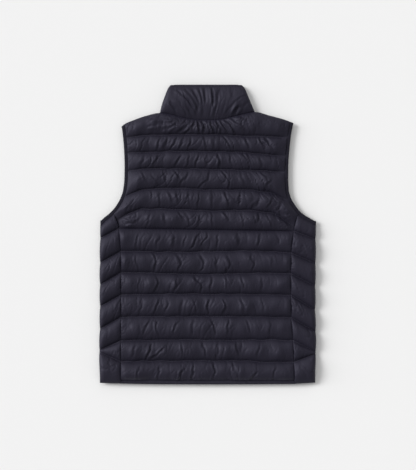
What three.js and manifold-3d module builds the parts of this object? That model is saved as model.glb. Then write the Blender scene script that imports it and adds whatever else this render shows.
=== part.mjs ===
// A quilted down vest with a stand collar, zipped up and laid flat on its front, so that its back is uppermost.
// Millimetres. +X runs to the right, +Y from the hem to the collar and +Z up from the surface that it lies on.
// The wearer's left is at -X. The origin lies under the middle of the whole vest.

import * as THREE from "three";
import Module from "manifold-3d";
import { mergeVertices } from "three/addons/utils/BufferGeometryUtils.js";

const wasm = await Module();
wasm.setup();

// Driving dimensions

const wall = {
  stitched: 2.6, // thickness where it is sewn through
  backLoft: 14, // how far a full channel of the back swells above its stitching
  frontLoft: 16, // the same below the front, before the surface presses it flat
  fullWidth: 52, // width of a channel that swells to the full
  roundness: 0.82, // lower makes a channel flatter along its crest and steeper at its stitching
  drawnIn: 9, // how far from a side edge a channel starts to narrow down
  seamShare: 0.4, // how full it still is at the edge itself
  frontInside: 10, // height of the inside of the front
  layerGap: 0.4, // between the front and the back that lies on it
  seamGap: 0.3, // between two pieces at a seam
  frontEase: 0.7, // added to it round the armholes of the fronts, whose edges are straighter
};
const backInside = wall.frontInside + wall.layerGap;
const middle = wall.frontInside + wall.layerGap / 2;

const fold = { depth: 12, pinch: 1.6 }; // the rounded side folds, and how far a sewn line draws them in
const binding = { width: 8, thickness: 3.2, ease: 0.4, cuts: 34, turns: 5 };
const collar = { seam: 2.6, topEdge: 5.5, loft: 7.5, foldDepth: 10, top: 375, topFront: 342, creaseWidth: 5, ease: 0.6 };
collar.frontEase = 0.8;
const zip = { opening: 10, tapeThick: 0.8, tapeTop: 8.1, chainHalf: 2.9, chainTop: 8.4, chainThick: 2.4 };
zip.bottom = -371;
zip.top = 340;

// The sewn lines of the back, hem first. Each has its height at seven places across the back, and at the two side
// folds, where it slants down across the side panels.
const places = { left: 0, nearLeft: 0.14, midLeft: 0.3, centre: 0.5, midRight: 0.7, nearRight: 0.86, right: 1 };
const lowerLines = [
  { foldLeft: -371.5, left: -373, nearLeft: -374.2, midLeft: -374.8, centre: -375, midRight: -374.9, nearRight: -374.6, right: -374, foldRight: -370.5 },
  { foldLeft: -294, left: -318, nearLeft: -317, midLeft: -316, centre: -315, midRight: -316, nearRight: -320, right: -319, foldRight: -298 },
  { foldLeft: -289, left: -265, nearLeft: -264, midLeft: -263.5, centre: -264, midRight: -263, nearRight: -263, right: -264.5, foldRight: -293 },
  { foldLeft: -236, left: -206, nearLeft: -205.5, midLeft: -205, centre: -204.5, midRight: -205, nearRight: -206, right: -208, foldRight: -243 },
  { foldLeft: -180, left: -150.5, nearLeft: -149.5, midLeft: -149, centre: -148.5, midRight: -149.5, nearRight: -150, right: -152, foldRight: -188 },
  { foldLeft: -126, left: -94.5, nearLeft: -96, midLeft: -97.5, centre: -99.5, midRight: -97, nearRight: -96, right: -97.5, foldRight: -129 },
  { foldLeft: -71, left: -42, nearLeft: -43, midLeft: -44, centre: -43, midRight: -40.5, nearRight: -42, right: -46, foldRight: -72 },
  { foldLeft: -9, left: 15.5, nearLeft: 14.5, midLeft: 13.5, centre: 12, midRight: 10.5, nearRight: 9.5, right: 8.5, foldRight: -11 },
];
const yokeLines = [
  lowerLines[lowerLines.length - 1],
  { left: 35, nearLeft: 63, midLeft: 64, centre: 60, midRight: 60.5, nearRight: 54, right: 18 },
  { left: 95, nearLeft: 114, midLeft: 116, centre: 112, midRight: 113, nearRight: 107, right: 86 },
  { left: 160, nearLeft: 164.5, midLeft: 165, centre: 163.5, midRight: 161.5, nearRight: 160, right: 156 },
  { left: 205, nearLeft: 206.5, midLeft: 208, centre: 208.5, midRight: 206, nearRight: 201, right: 196 },
  { left: 243, nearLeft: 248, midLeft: 250, centre: 250.5, midRight: 247.5, nearRight: 245, right: 243.5 },
];

// Distance of the side folds, of the seams between back and side panels, and of the armhole edges from the middle.
const sideFolds = [
  { y: -375, left: 269.6, right: 269.8 },
  { y: -340, left: 270.2, right: 270 },
  { y: -300, left: 272, right: 271.8 },
  { y: -260, left: 271, right: 272 },
  { y: -190, left: 270.3, right: 270.4 },
  { y: -110, left: 270.4, right: 270.8 },
  { y: -40, left: 270, right: 271.4 },
  { y: 34, left: 268.6, right: 271.6 },
];
const sideSeams = [
  { y: -375, left: 216.8, right: 217.5 },
  { y: -315, left: 216.8, right: 215.8 },
  { y: -262, left: 216.6, right: 213.5 },
  { y: -205, left: 216.4, right: 209.5 },
  { y: -95, left: 216.4, right: 208 },
  { y: -35, left: 217.6, right: 210 },
  { y: 18, left: 222.5, right: 217.5 },
  { y: 60, left: 238, right: 229 },
];
const armholes = [
  { y: 28, left: 272, right: 278 },
  { y: 41, left: 259.5, right: 254.5 },
  { y: 51, left: 247, right: 238.5 },
  { y: 61, left: 237, right: 228 },
  { y: 71, left: 229, right: 220.5 },
  { y: 91, left: 217.5, right: 208.5 },
  { y: 111, left: 211, right: 203 },
  { y: 141, left: 207.8, right: 201.4 },
  { y: 171, left: 207.3, right: 201.6 },
  { y: 211, left: 208.6, right: 204.3 },
  { y: 251, left: 212, right: 209 },
  { y: 290, left: 217.5, right: 217 },
];

// The shoulders and neck seam, from the left shoulder's tip to the right's: their height on the back and the front.
const topEdge = [
  { x: -220, back: 263, front: 263 },
  { x: -208, back: 276, front: 275 },
  { x: -185, back: 286, front: 285 },
  { x: -155, back: 296.5, front: 295 },
  { x: -119, back: 304, front: 302 },
  { x: -88, back: 299.5, front: 286 },
  { x: -62, back: 292.5, front: 274 },
  { x: -30, back: 287.6, front: 264.5 },
  { x: 0, back: 286.6, front: 262 },
  { x: 30, back: 287.8, front: 264.5 },
  { x: 62, back: 294.5, front: 274 },
  { x: 88, back: 301, front: 286 },
  { x: 119, back: 306.5, front: 303 },
  { x: 155, back: 297.5, front: 296 },
  { x: 190, back: 288, front: 286.5 },
  { x: 220, back: 276.5, front: 275 },
];
const collarSides = [
  { y: 300, left: 120.5, right: 121 },
  { y: 326, left: 114.5, right: 110.8 },
  { y: 346, left: 107.5, right: 102.5 },
  { y: 366, left: 99.5, right: 94 },
  { y: 375, left: 94.5, right: 88 },
];
// The collar's largest creases, which fan out from its seam: where each starts and ends, and how far it stands up.
const collarCreases = [
  { seam: -52, top: -86, rise: 1.6 },
  { seam: -34, top: -60, rise: 2.2 },
  { seam: -20, top: -38, rise: 2.2 },
  { seam: -8, top: -14, rise: 1.8 },
  { seam: 8, top: 18, rise: 1.6 },
  { seam: 34, top: 60, rise: 1.2 },
  { seam: 56, top: 88, rise: 2 },
];

// Curves and small sums

const mix = (a, b, share) => a + (b - a) * share;
const clamp = (value) => Math.min(1, Math.max(0, value));

// A smooth curve through points with rising xs that never overshoots them, and runs straight on past its ends.
function curveThrough(xs, ys) {
  const rises = xs.slice(1).map((x, i) => (ys[i + 1] - ys[i]) / (x - xs[i]));
  const slopes = xs.map((_, i) => {
    const [before, after] = [rises[i - 1] ?? rises[0], rises[i] ?? rises[rises.length - 1]];
    return before * after <= 0 ? 0 : (2 * before * after) / (before + after);
  });
  return (x) => {
    let i = 0;
    while (i < rises.length - 1 && x > xs[i + 1]) i += 1;
    const span = xs[i + 1] - xs[i];
    const s = (x - xs[i]) / span;
    if (s < 0) return ys[i] + slopes[i] * (x - xs[i]);
    if (s > 1) return ys[i + 1] + slopes[i + 1] * (x - xs[i + 1]);
    const bend = s * s * (3 - 2 * s);
    return mix(ys[i], ys[i + 1], bend) + span * s * (1 - s) * (slopes[i] * (1 - s) - slopes[i + 1] * s);
  };
}

const columnCurve = (rows, along, value) =>
  curveThrough(
    rows.map((row) => row[along]),
    rows.map((row) => row[value]),
  );

const lineCurve = (line) => curveThrough(Object.values(places), Object.keys(places).map((place) => line[place]));

// Where a falling or rising function crosses zero between two values.
function crossing(f, low, high) {
  const sign = Math.sign(f(low));
  for (let i = 0; i < 40; i += 1) {
    const half = (low + high) / 2;
    if (Math.sign(f(half)) === sign) low = half;
    else high = half;
  }
  return (low + high) / 2;
}

const shoulder = { back: columnCurve(topEdge, "x", "back"), front: columnCurve(topEdge, "x", "front") };

// The outlines of one side, "left" or "right", as distances from the middle. The strand is the armhole's edge with
// the way its binding lies from there: square to the edge, but along the shoulder and the side fold at its ends.
function outlines(side) {
  const sign = side === "left" ? -1 : 1;
  const armhole = columnCurve(armholes, "y", side);
  const sideFold = columnCurve(sideFolds, "y", side);
  const seam = columnCurve(sideSeams, "y", side);
  const shoulderLean = (x) => (sign * (shoulder.back(sign * x + 1) - shoulder.back(sign * x - 1))) / 2;
  const turnRadius = binding.thickness + wall.layerGap / 2;
  const topY = crossing((y) => shoulder.back(sign * armhole(y)) - turnRadius - y, 240, 300);
  const lowY = crossing((y) => armhole(y) - (sideFold(y) - turnRadius), 26, 60);
  const strand = Array.from({ length: binding.cuts + 1 }, (_, i) => {
    const y = mix(topY, lowY, i / binding.cuts);
    const x = armhole(y);
    const lean = (armhole(y + 1) - armhole(y - 1)) / 2;
    const square = new THREE.Vector2(-1, lean).normalize();
    const along = square.clone();
    if (i === 0) along.set(-1, -shoulderLean(x)).normalize();
    if (i === binding.cuts) along.set(0, -1);
    return { x, y, along: along.divideScalar(along.dot(square)) };
  });
  const shoulderNormal = new THREE.Vector2(-shoulderLean(strand[0].x), 1).normalize();
  const sewnOn = strand.map(({ x, y, along }) => {
    const reach = binding.width + wall.seamGap + binding.ease;
    return { x: x + along.x * reach, y: y + along.y * reach };
  });
  const innerX = columnCurve([...sewnOn].reverse(), "y", "x");
  const low = sewnOn.filter((p, i) => i > binding.cuts * 0.6);
  const below = low[low.length - 1];
  const innerCurve = columnCurve(low, "x", "y");
  const innerY = (x) => (x > below.x ? below.y : innerCurve(x));
  const seamTop = crossing((y) => seam(y) - innerX(y), 20, 90);
  return { side, sign, armhole, sideFold, seam, innerX, innerY, seamTop, strand, shoulderNormal };
}
const sides = { left: outlines("left"), right: outlines("right") };

// How full a channel of this width is at a share of the way across it, from 0 at its stitching to 1 at its crest.
const fullness = (share, width) =>
  Math.max(0, 4 * share * (1 - share)) ** wall.roundness * clamp(width / wall.fullWidth) ** 0.8;
const narrowing = (distance) => mix(wall.seamShare, 1, Math.sqrt(clamp(distance / wall.drawnIn)));
const backTop = (full) => backInside + wall.stitched + wall.backLoft * full;
const frontBottom = (full) => Math.max(0, wall.frontInside - wall.stitched - wall.frontLoft * full);

// Solids from grids of points

function solid(points, faces) {
  const volume = new THREE.Vector3();
  let six = 0;
  for (let i = 0; i < faces.length; i += 3)
    six += points[faces[i]].dot(volume.crossVectors(points[faces[i + 1]], points[faces[i + 2]]));
  const geometry = new THREE.BufferGeometry().setFromPoints(points);
  geometry.setIndex(six > 0 ? faces : faces.reverse());
  geometry.computeVertexNormals();
  return geometry;
}

// The wall between two grids of the same size, outer[row][column] and inner[row][column], closed round its rim.
function wallBetween(outer, inner) {
  const [rows, columns] = [outer.length, outer[0].length];
  const faces = [];
  const quad = (a, b, c, d) => faces.push(a, b, c, a, c, d);
  const o = (r, c) => r * columns + c;
  const i = (r, c) => rows * columns + r * columns + c;
  for (let r = 0; r < rows - 1; r += 1)
    for (let c = 0; c < columns - 1; c += 1) {
      quad(o(r, c), o(r, c + 1), o(r + 1, c + 1), o(r + 1, c));
      quad(i(r, c), i(r + 1, c), i(r + 1, c + 1), i(r, c + 1));
    }
  const [lastRow, lastColumn] = [rows - 1, columns - 1];
  for (let c = 0; c < lastColumn; c += 1) {
    quad(o(0, c), i(0, c), i(0, c + 1), o(0, c + 1));
    quad(o(lastRow, c), o(lastRow, c + 1), i(lastRow, c + 1), i(lastRow, c));
  }
  for (let r = 0; r < lastRow; r += 1) {
    quad(o(r, 0), o(r + 1, 0), i(r + 1, 0), i(r, 0));
    quad(o(r + 1, lastColumn), o(r, lastColumn), i(r, lastColumn), i(r + 1, lastColumn));
  }
  return solid([...outer.flat(), ...inner.flat()], faces);
}

// A closed band: sections[k][j] goes round the band's thickness, and the last section joins the first.
function closedBand(sections) {
  const [count, around] = [sections.length, sections[0].length];
  const faces = [];
  for (let k = 0; k < count; k += 1)
    for (let j = 0; j < around; j += 1) {
      const [next, beside] = [(k + 1) % count, (j + 1) % around];
      const [a, b] = [k * around + j, k * around + beside];
      const [c, d] = [next * around + beside, next * around + j];
      faces.push(a, b, c, a, c, d);
    }
  return solid(sections.flat(), faces);
}

// Shares across a channel, closer together at its stitching. The next channel adds the line itself.
const acrossChannel = (count) => Array.from({ length: count }, (_, i) => (1 - Math.cos((Math.PI * i) / count)) / 2);

// The grid's rows: which channel each lies in, and its share of the way across that channel.
const channelRows = (channels, count) => [
  ...Array.from({ length: channels }, (_, k) => acrossChannel(count).map((share) => ({ channel: k, share }))).flat(),
  { channel: channels - 1, share: 1 },
];

// The back: a lower panel and a yoke

// A panel between two side edges. Each edge gives its distance from the middle at a height.
function backPanel({ lines, top, bottomGap, topGap, edges, columns, rowsPerChannel }) {
  const curves = lines.map(lineCurve);
  const ends = (k) => (k < lines.length ? lines[k] : top.ends);
  const heightAt = (k, u, x) => (k < curves.length ? curves[k](u) : top.height(x));
  const channels = curves.length - (top ? 0 : 1);
  const outer = channelRows(channels, rowsPerChannel).map(({ channel, share }, row, all) => {
    const [low, high] = [ends(channel), ends(channel + 1)];
    const [left, right] = ["left", "right"].map((side) => edges(side, mix(low[side], high[side], share)));
    const shift = row === 0 ? bottomGap : row === all.length - 1 ? -topGap : 0;
    return columns.map((u) => {
      const x = mix(-left, right, u);
      const [under, over] = [heightAt(channel, u, x), heightAt(channel + 1, u, x)];
      const full = fullness(share, over - under) * narrowing(Math.min(x + left, right - x));
      return new THREE.Vector3(x, mix(under, over, share) + shift, backTop(full));
    });
  });
  const inner = outer.map((row) => row.map((p) => new THREE.Vector3(p.x, p.y, backInside)));
  return wallBetween(outer, inner);
}

const halfSeam = wall.seamGap / 2;
const lowerBack = backPanel({
  lines: lowerLines,
  bottomGap: 0,
  topGap: halfSeam,
  edges: (side, y) => sides[side].seam(y) - halfSeam,
  columns: [0, 0.012, 0.036, 0.14, 0.26, 0.38, 0.5, 0.62, 0.74, 0.86, 0.964, 0.988, 1],
  rowsPerChannel: 6,
});

const yokeEdge = (side, y) => {
  const { seam, innerX, seamTop } = sides[side];
  return y < seamTop ? seam(y) - halfSeam : innerX(y);
};
const yokeTip = (side) => {
  const { sign, innerX } = sides[side];
  return crossing((y) => shoulder.back(sign * innerX(y)) - y, 240, 300);
};
const yoke = backPanel({
  lines: yokeLines,
  top: { ends: { left: yokeTip("left"), right: yokeTip("right") }, height: shoulder.back },
  bottomGap: halfSeam,
  topGap: halfSeam,
  edges: yokeEdge,
  columns: [0, 0.012, 0.036, 0.12, 0.2, 0.26, 0.34, 0.42, 0.5, 0.58, 0.66, 0.74, 0.8, 0.88, 0.964, 0.988, 1],
  rowsPerChannel: 6,
});

// The side panels: each runs from the back seam round the side fold to the front seam

// A row's points from its back edge round a fold to its front edge, each on the outside and on the inside.
// at(x) gives the height and the two faces at a distance from the middle.
function roundFold({ sign, at, startX, across, edgeX, depth }) {
  const point = (x, y, z) => new THREE.Vector3(sign * x, y, z);
  const bend = edgeX - depth;
  const flat = across.map((share) => ({ x: mix(startX, bend, share), ...at(mix(startX, bend, share)) }));
  const { top, bottom } = flat[flat.length - 1];
  const round = [30, 60, 90, 120, 150].map((degrees) => {
    const angle = THREE.MathUtils.degToRad(degrees);
    const [sine, cosine] = [Math.sin(angle), Math.cos(angle)];
    const x = bend + depth * sine;
    const inside = (wall.layerGap / 2) * cosine;
    const reach = degrees < 90 ? top - middle : middle - bottom;
    return [
      point(x, at(x).y, middle + reach * cosine),
      point(bend + (depth - wall.stitched) * sine, at(x).y, middle + inside),
    ];
  });
  return [
    ...flat.map((p) => [point(p.x, p.y, p.top), point(p.x, p.y, backInside)]),
    ...round,
    ...[...flat].reverse().map((p) => [point(p.x, p.y, p.bottom), point(p.x, p.y, wall.frontInside)]),
  ];
}

function sidePanel(side) {
  const { sign, sideFold, seam, innerY, seamTop } = sides[side];
  const foldKey = side === "left" ? "foldLeft" : "foldRight";
  const lines = lowerLines.map((line) => ({ seam: line[side], fold: line[foldKey] }));
  const foldTop = innerY(300);
  const topFrom = seam(seamTop) + halfSeam;
  const rows = channelRows(lines.length, 4).map(({ channel, share }) => {
    const low = lines[channel];
    const high = lines[channel + 1] ?? { seam: seamTop, fold: foldTop };
    const seamX = seam(mix(low.seam, high.seam, share)) + halfSeam;
    const foldY = mix(low.fold, high.fold, share);
    const edgeX = sideFold(foldY) - fold.pinch * (1 - fullness(share, high.fold - low.fold));
    const at = (x) => {
      const out = (x - seamX) / (edgeX - seamX);
      const under = mix(low.seam, low.fold, out);
      const over = lines[channel + 1] ? mix(high.seam, high.fold, out) : innerY(mix(topFrom, edgeX, out));
      const full = fullness(share, over - under) * narrowing(x - seamX);
      return { y: mix(under, over, share), top: backTop(full), bottom: frontBottom(full) };
    };
    return roundFold({ sign, at, startX: seamX, across: [0, 0.12, 0.36, 0.68, 1], edgeX, depth: fold.depth });
  });
  return wallBetween(
    rows.map((row) => row.map(([outside]) => outside)),
    rows.map((row) => row.map(([, inside]) => inside)),
  );
}

// The fronts, which lie under the back and are pressed flat where they rest

function frontPanel(side) {
  const { sign, innerX } = sides[side];
  const curves = [...lowerLines, ...yokeLines.slice(1)].map(lineCurve);
  const ends = [...lowerLines, ...yokeLines.slice(1)].map((line) => line[side]);
  const tip = crossing((y) => shoulder.front(sign * innerX(y)) - y, 240, 300);
  const outward = [0, 0.05, 0.16, 0.28, 0.4, 0.52, 0.66, 0.84, 0.95, 1];
  const outer = channelRows(curves.length, 4).map(({ channel, share }, row, all) => {
    const edge = yokeEdge(side, mix(ends[channel], ends[channel + 1] ?? tip, share)) - wall.frontEase;
    return outward.map((out) => {
      const x = mix(zip.opening, edge, out);
      const u = 0.5 + (sign * out) / 2;
      const under = curves[channel](u);
      const over = curves[channel + 1] ? curves[channel + 1](u) : shoulder.front(sign * x);
      const full = fullness(share, over - under) * narrowing(Math.min(x - zip.opening, edge - x));
      const shift = row === all.length - 1 ? -wall.seamGap : 0;
      return new THREE.Vector3(sign * x, mix(under, over, share) + shift, frontBottom(full));
    });
  });
  const inner = outer.map((row) => row.map((p) => new THREE.Vector3(p.x, p.y, wall.frontInside)));
  return wallBetween(outer, inner);
}

// The stand collar: one strip from the zip round the back of the neck to the zip again

function collarCrease(x, share) {
  return collarCreases.reduce((sum, { seam, top, rise }) => {
    const away = (x - mix(seam, top, share)) / collar.creaseWidth;
    return sum + rise * Math.exp(-away * away) * Math.sin(Math.PI * clamp(share)) ** 0.5;
  }, 0);
}

function standCollar() {
  const shares = [0, 0.06, 0.18, 0.36, 0.54, 0.72, 0.88, 1];
  const acrossBack = 24;
  const forward = [0, 0.2, 0.42, 0.66, 0.88, 1];
  const side = { left: columnCurve(collarSides, "y", "left"), right: columnCurve(collarSides, "y", "right") };
  const sideBase = Object.fromEntries(
    ["left", "right"].map((key) => {
      const y = shoulder.back(sides[key].sign * 119) + collar.ease;
      return [key, { y, x: side[key](y) - collar.foldDepth }];
    }),
  );
  const swell = (share) => Math.max(0, 4 * share * (1 - share)) ** 0.6;
  const height = (share) => mix(collar.seam, collar.topEdge, share) + collar.loft * swell(share);
  const rows = shares.map((share) => {
    const foldAt = (key) => {
      const y = mix(sideBase[key].y, collar.top - 1.5, share);
      return { y, x: side[key](y) };
    };
    const [left, right] = [foldAt("left"), foldAt("right")];
    const top = backInside + height(share);
    const bottom = Math.max(0, wall.frontInside - height(share) - 1);
    const half = (key, sign, corner) => {
      const startX = corner.x - collar.foldDepth;
      const topDip = collar.top - collar.topFront;
      const point = (out) => {
        const x = mix(zip.opening, startX, out);
        const low = shoulder.front(sign * mix(zip.opening, sideBase[key].x, out)) + collar.frontEase;
        const high = collar.top - 1.5 - topDip * (1 - out * out);
        const atCorner = mix(mix(low, high, share), corner.y, out ** 6);
        return { x, y: atCorner, top, bottom: mix(wall.frontInside - collar.seam, bottom, narrowing(x - zip.opening)) };
      };
      return forward.map(point);
    };
    const point = (x, y, z) => new THREE.Vector3(x, y, z);
    const arc = (sign, corner) =>
      [30, 60, 90, 120, 150].map((degrees) => {
        const angle = THREE.MathUtils.degToRad(degrees);
        const reach = degrees < 90 ? top - middle : middle - bottom;
        const tiny = wall.layerGap / 2;
        const x = corner.x - collar.foldDepth * (1 - Math.sin(angle));
        const inside = corner.x - collar.foldDepth + tiny * Math.sin(angle);
        return [
          point(sign * x, corner.y, middle + reach * Math.cos(angle)),
          point(sign * inside, corner.y, middle + tiny * Math.cos(angle)),
        ];
      });
    const underside = (sign, corner) =>
      half(sign < 0 ? "left" : "right", sign, corner).map((p) => [
        point(sign * p.x, p.y, p.bottom),
        point(sign * p.x, p.y, wall.frontInside),
      ]);
    const back = Array.from({ length: acrossBack + 1 }, (_, i) => {
      const x = mix(-left.x + collar.foldDepth, right.x - collar.foldDepth, i / acrossBack);
      const baseX = mix(-sideBase.left.x, sideBase.right.x, i / acrossBack);
      const y = mix(shoulder.back(baseX) + collar.ease, collar.top, share);
      return [point(x, y, top + collarCrease(x, share)), point(x, y, backInside)];
    });
    return [
      ...underside(-1, left),
      ...arc(-1, left).reverse(),
      ...back,
      ...arc(1, right),
      ...underside(1, right).reverse(),
    ];
  });
  return wallBetween(
    rows.map((row) => row.map(([outside]) => outside)),
    rows.map((row) => row.map(([, inside]) => inside)),
  );
}

// The armhole bindings: each is a closed band along the back's edge, round the underarm and back along the front's

function armholeBinding(side) {
  const { sign, strand, shoulderNormal } = sides[side];
  const thick = binding.thickness;
  // One section: from the outer edge to the sewn edge at a turn about the fold, which bulges outward.
  const section = ({ x, y, along }, outward, angle) => {
    const at = (share, height) => {
      const radius = wall.layerGap / 2 + height;
      const [reach, out] = [binding.width * share, radius * Math.sin(angle)];
      const px = x + along.x * reach + outward.x * out;
      const py = y + along.y * reach + outward.y * out;
      return new THREE.Vector3(sign * px, py, middle + radius * Math.cos(angle));
    };
    return [
      at(0.06, 0),
      at(0, thick * 0.3),
      at(0.02, thick * 0.75),
      at(0.12, thick),
      at(0.9, thick),
      at(1, thick * 0.8),
      at(1, 0),
    ];
  };
  const flat = new THREE.Vector2(0, 0);
  const underarm = new THREE.Vector2(1, 0);
  const turns = Array.from({ length: binding.turns - 1 }, (_, i) => (Math.PI * (i + 1)) / binding.turns);
  const last = strand[strand.length - 1];
  return closedBand([
    ...strand.map((cut) => section(cut, flat, 0)),
    ...turns.map((angle) => section(last, underarm, angle)),
    ...[...strand].reverse().map((cut) => section(cut, flat, Math.PI)),
    ...[...turns].reverse().map((angle) => section(strand[0], shoulderNormal, angle)),
  ]);
}

// The zip: two tapes, the chain, the slider with its pull, and the box at the hem

function strip(x0, x1, y0, y1, z0, z1) {
  const shape = new THREE.Shape([
    new THREE.Vector2(x0, y0),
    new THREE.Vector2(x1, y0),
    new THREE.Vector2(x1, y1),
    new THREE.Vector2(x0, y1),
  ]);
  return new THREE.ExtrudeGeometry(shape, { depth: z1 - z0, bevelEnabled: false }).translate(0, 0, z0);
}

const tape = { from: zip.chainHalf + wall.seamGap, to: zip.opening - wall.seamGap };
const zipTape = (sign) => {
  const [a, b] = sign < 0 ? [-tape.to, -tape.from] : [tape.from, tape.to];
  return strip(a, b, zip.bottom, zip.top, zip.tapeTop - zip.tapeThick, zip.tapeTop);
};

const slider = {
  y: 333,
  half: 4.2,
  long: 10,
  plate: 1.2,
  clear: 0.4,
  divider: { half: 1.1, long: 3 },
  bridge: { half: 1.05, thick: 1, tunnel: 2.1, reach: 1.9 },
};
slider.upper = zip.chainTop + slider.clear;
slider.lower = zip.chainTop - zip.chainThick - slider.clear;
slider.face = slider.lower - slider.plate;
slider.pivot = slider.face - slider.bridge.tunnel / 2;
const chainEnd = slider.y + slider.long / 2 - slider.divider.long - wall.seamGap;

const zipChain = () => {
  const top = zip.chainTop;
  return strip(-zip.chainHalf, zip.chainHalf, zip.bottom + 7, chainEnd, top - zip.chainThick, top);
};
const zipBox = () => {
  const [half, top] = [zip.chainHalf, zip.chainTop + 0.3];
  return strip(-half, half, zip.bottom - 0.5, zip.bottom + 6.7, top - zip.chainThick - 0.8, top);
};

// Several closed geometries joined into one.
function joined(geometries) {
  const solids = geometries.map((geometry) => {
    const bare = geometry.clone();
    bare.deleteAttribute("normal");
    bare.deleteAttribute("uv");
    const { attributes, index } = mergeVertices(bare, 1e-3);
    const mesh = { numProp: 3, vertProperties: attributes.position.array, triVerts: new Uint32Array(index.array) };
    return new wasm.Manifold(new wasm.Mesh(mesh));
  });
  const { vertProperties, triVerts } = solids.reduce((sum, next) => sum.add(next)).getMesh();
  const geometry = new THREE.BufferGeometry();
  geometry.setAttribute("position", new THREE.BufferAttribute(vertProperties, 3));
  geometry.setIndex(new THREE.BufferAttribute(triVerts, 1));
  geometry.computeVertexNormals();
  return geometry;
}

function zipSlider() {
  const { y, half, long, plate, upper, lower, face, divider, bridge } = slider;
  const [low, high] = [y - long / 2, y + long / 2];
  const sunk = 0.1;
  const legs = [-1, 1].map((end) => {
    const inner = y + end * bridge.reach;
    const outer = inner + end * bridge.thick;
    return strip(-bridge.half, bridge.half, Math.min(inner, outer), Math.max(inner, outer), face - bridge.tunnel - sunk, face + sunk);
  });
  const reach = bridge.reach + bridge.thick;
  const beam = face - bridge.tunnel;
  return joined([
    strip(-half, half, low, high, upper, upper + plate),
    strip(-half, half, low, high, face, lower),
    strip(-divider.half, divider.half, high - divider.long, high, lower - sunk, upper + sunk),
    ...legs,
    strip(-bridge.half, bridge.half, y - reach, y + reach, beam - bridge.thick, beam),
  ]);
}

const pull = { long: 22, half: 3.4, neck: 2.7, thick: 1.2, hole: { half: 1.6, long: 4.6 }, droop: 6.5 };

function zipPull() {
  const { long, half, neck, thick, hole } = pull;
  const bar = thick / 2;
  const shape = new THREE.Shape();
  shape.moveTo(-neck, bar);
  shape.lineTo(neck, bar);
  shape.lineTo(half, -hole.long - 2);
  shape.lineTo(half, -long + half);
  shape.absarc(0, -long + half, half, 0, Math.PI, true);
  shape.lineTo(-half, -hole.long - 2);
  shape.closePath();
  const eye = new THREE.Path();
  eye.moveTo(-hole.half, -bar);
  eye.lineTo(-hole.half, -bar - hole.long);
  eye.lineTo(hole.half, -bar - hole.long);
  eye.lineTo(hole.half, -bar);
  eye.closePath();
  shape.holes.push(eye);
  return new THREE.ExtrudeGeometry(shape, { depth: thick, bevelEnabled: false, curveSegments: 6 }).translate(0, 0, -bar);
}

// The vest

const cloth = (name) => new THREE.MeshStandardMaterial({ name, color: 0x2d2c38, roughness: 0.5, metalness: 0 });
const shell = cloth("shell");
const elastic = new THREE.MeshStandardMaterial({ name: "binding", color: 0x1f1e27, roughness: 0.8, metalness: 0 });
const tapeCloth = new THREE.MeshStandardMaterial({ name: "zip_tape", color: 0x23222c, roughness: 0.85, metalness: 0 });
const coil = new THREE.MeshStandardMaterial({ name: "zip_coil", color: 0x1c1b22, roughness: 0.4, metalness: 0 });
const metal = new THREE.MeshStandardMaterial({ name: "metal", color: 0x2a2a2e, roughness: 0.35, metalness: 0.9 });

const vest = new THREE.Group();
const add = (name, geometry, material) => {
  const mesh = new THREE.Mesh(geometry, material);
  mesh.name = name;
  vest.add(mesh);
  return mesh;
};

add("back_panel", lowerBack, shell);
add("back_yoke", yoke, shell);
for (const side of ["left", "right"]) {
  add(`side_panel_${side}`, sidePanel(side), shell);
  add(`front_${side}`, frontPanel(side), shell);
  add(`armhole_binding_${side}`, armholeBinding(side), elastic);
  add(`zip_tape_${side}`, zipTape(sides[side].sign), tapeCloth);
}
add("collar", standCollar(), shell);
add("zip_chain", zipChain(), coil);
add("zip_box", zipBox(), coil);
add("zip_slider", zipSlider(), metal);
const tab = add("zip_pull", zipPull(), metal);
tab.position.set(0, slider.y, slider.pivot);
tab.rotation.x = THREE.MathUtils.degToRad(pull.droop);

const box = new THREE.Box3().setFromObject(vest, true);
const centre = box.getCenter(new THREE.Vector3());
vest.position.set(-centre.x, -centre.y, -box.min.z);

export default vest;
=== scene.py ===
import math
import bpy
import numpy as np
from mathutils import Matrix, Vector, noise


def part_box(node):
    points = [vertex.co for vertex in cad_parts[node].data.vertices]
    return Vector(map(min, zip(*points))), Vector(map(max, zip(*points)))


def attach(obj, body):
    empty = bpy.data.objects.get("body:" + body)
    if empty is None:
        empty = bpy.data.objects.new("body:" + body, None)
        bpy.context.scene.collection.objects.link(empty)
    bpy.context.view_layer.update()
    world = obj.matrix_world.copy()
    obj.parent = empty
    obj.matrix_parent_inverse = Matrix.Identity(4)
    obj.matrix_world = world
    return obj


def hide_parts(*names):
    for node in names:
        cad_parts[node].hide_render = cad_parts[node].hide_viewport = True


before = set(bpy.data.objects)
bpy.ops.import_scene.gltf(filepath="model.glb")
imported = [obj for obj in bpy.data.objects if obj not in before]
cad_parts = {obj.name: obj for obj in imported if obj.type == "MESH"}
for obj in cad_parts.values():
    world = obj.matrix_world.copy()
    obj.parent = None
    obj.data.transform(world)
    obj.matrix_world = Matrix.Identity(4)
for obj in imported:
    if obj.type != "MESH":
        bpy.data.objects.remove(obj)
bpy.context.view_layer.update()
print("frame loaded:", len(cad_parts), "nodes")

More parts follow.
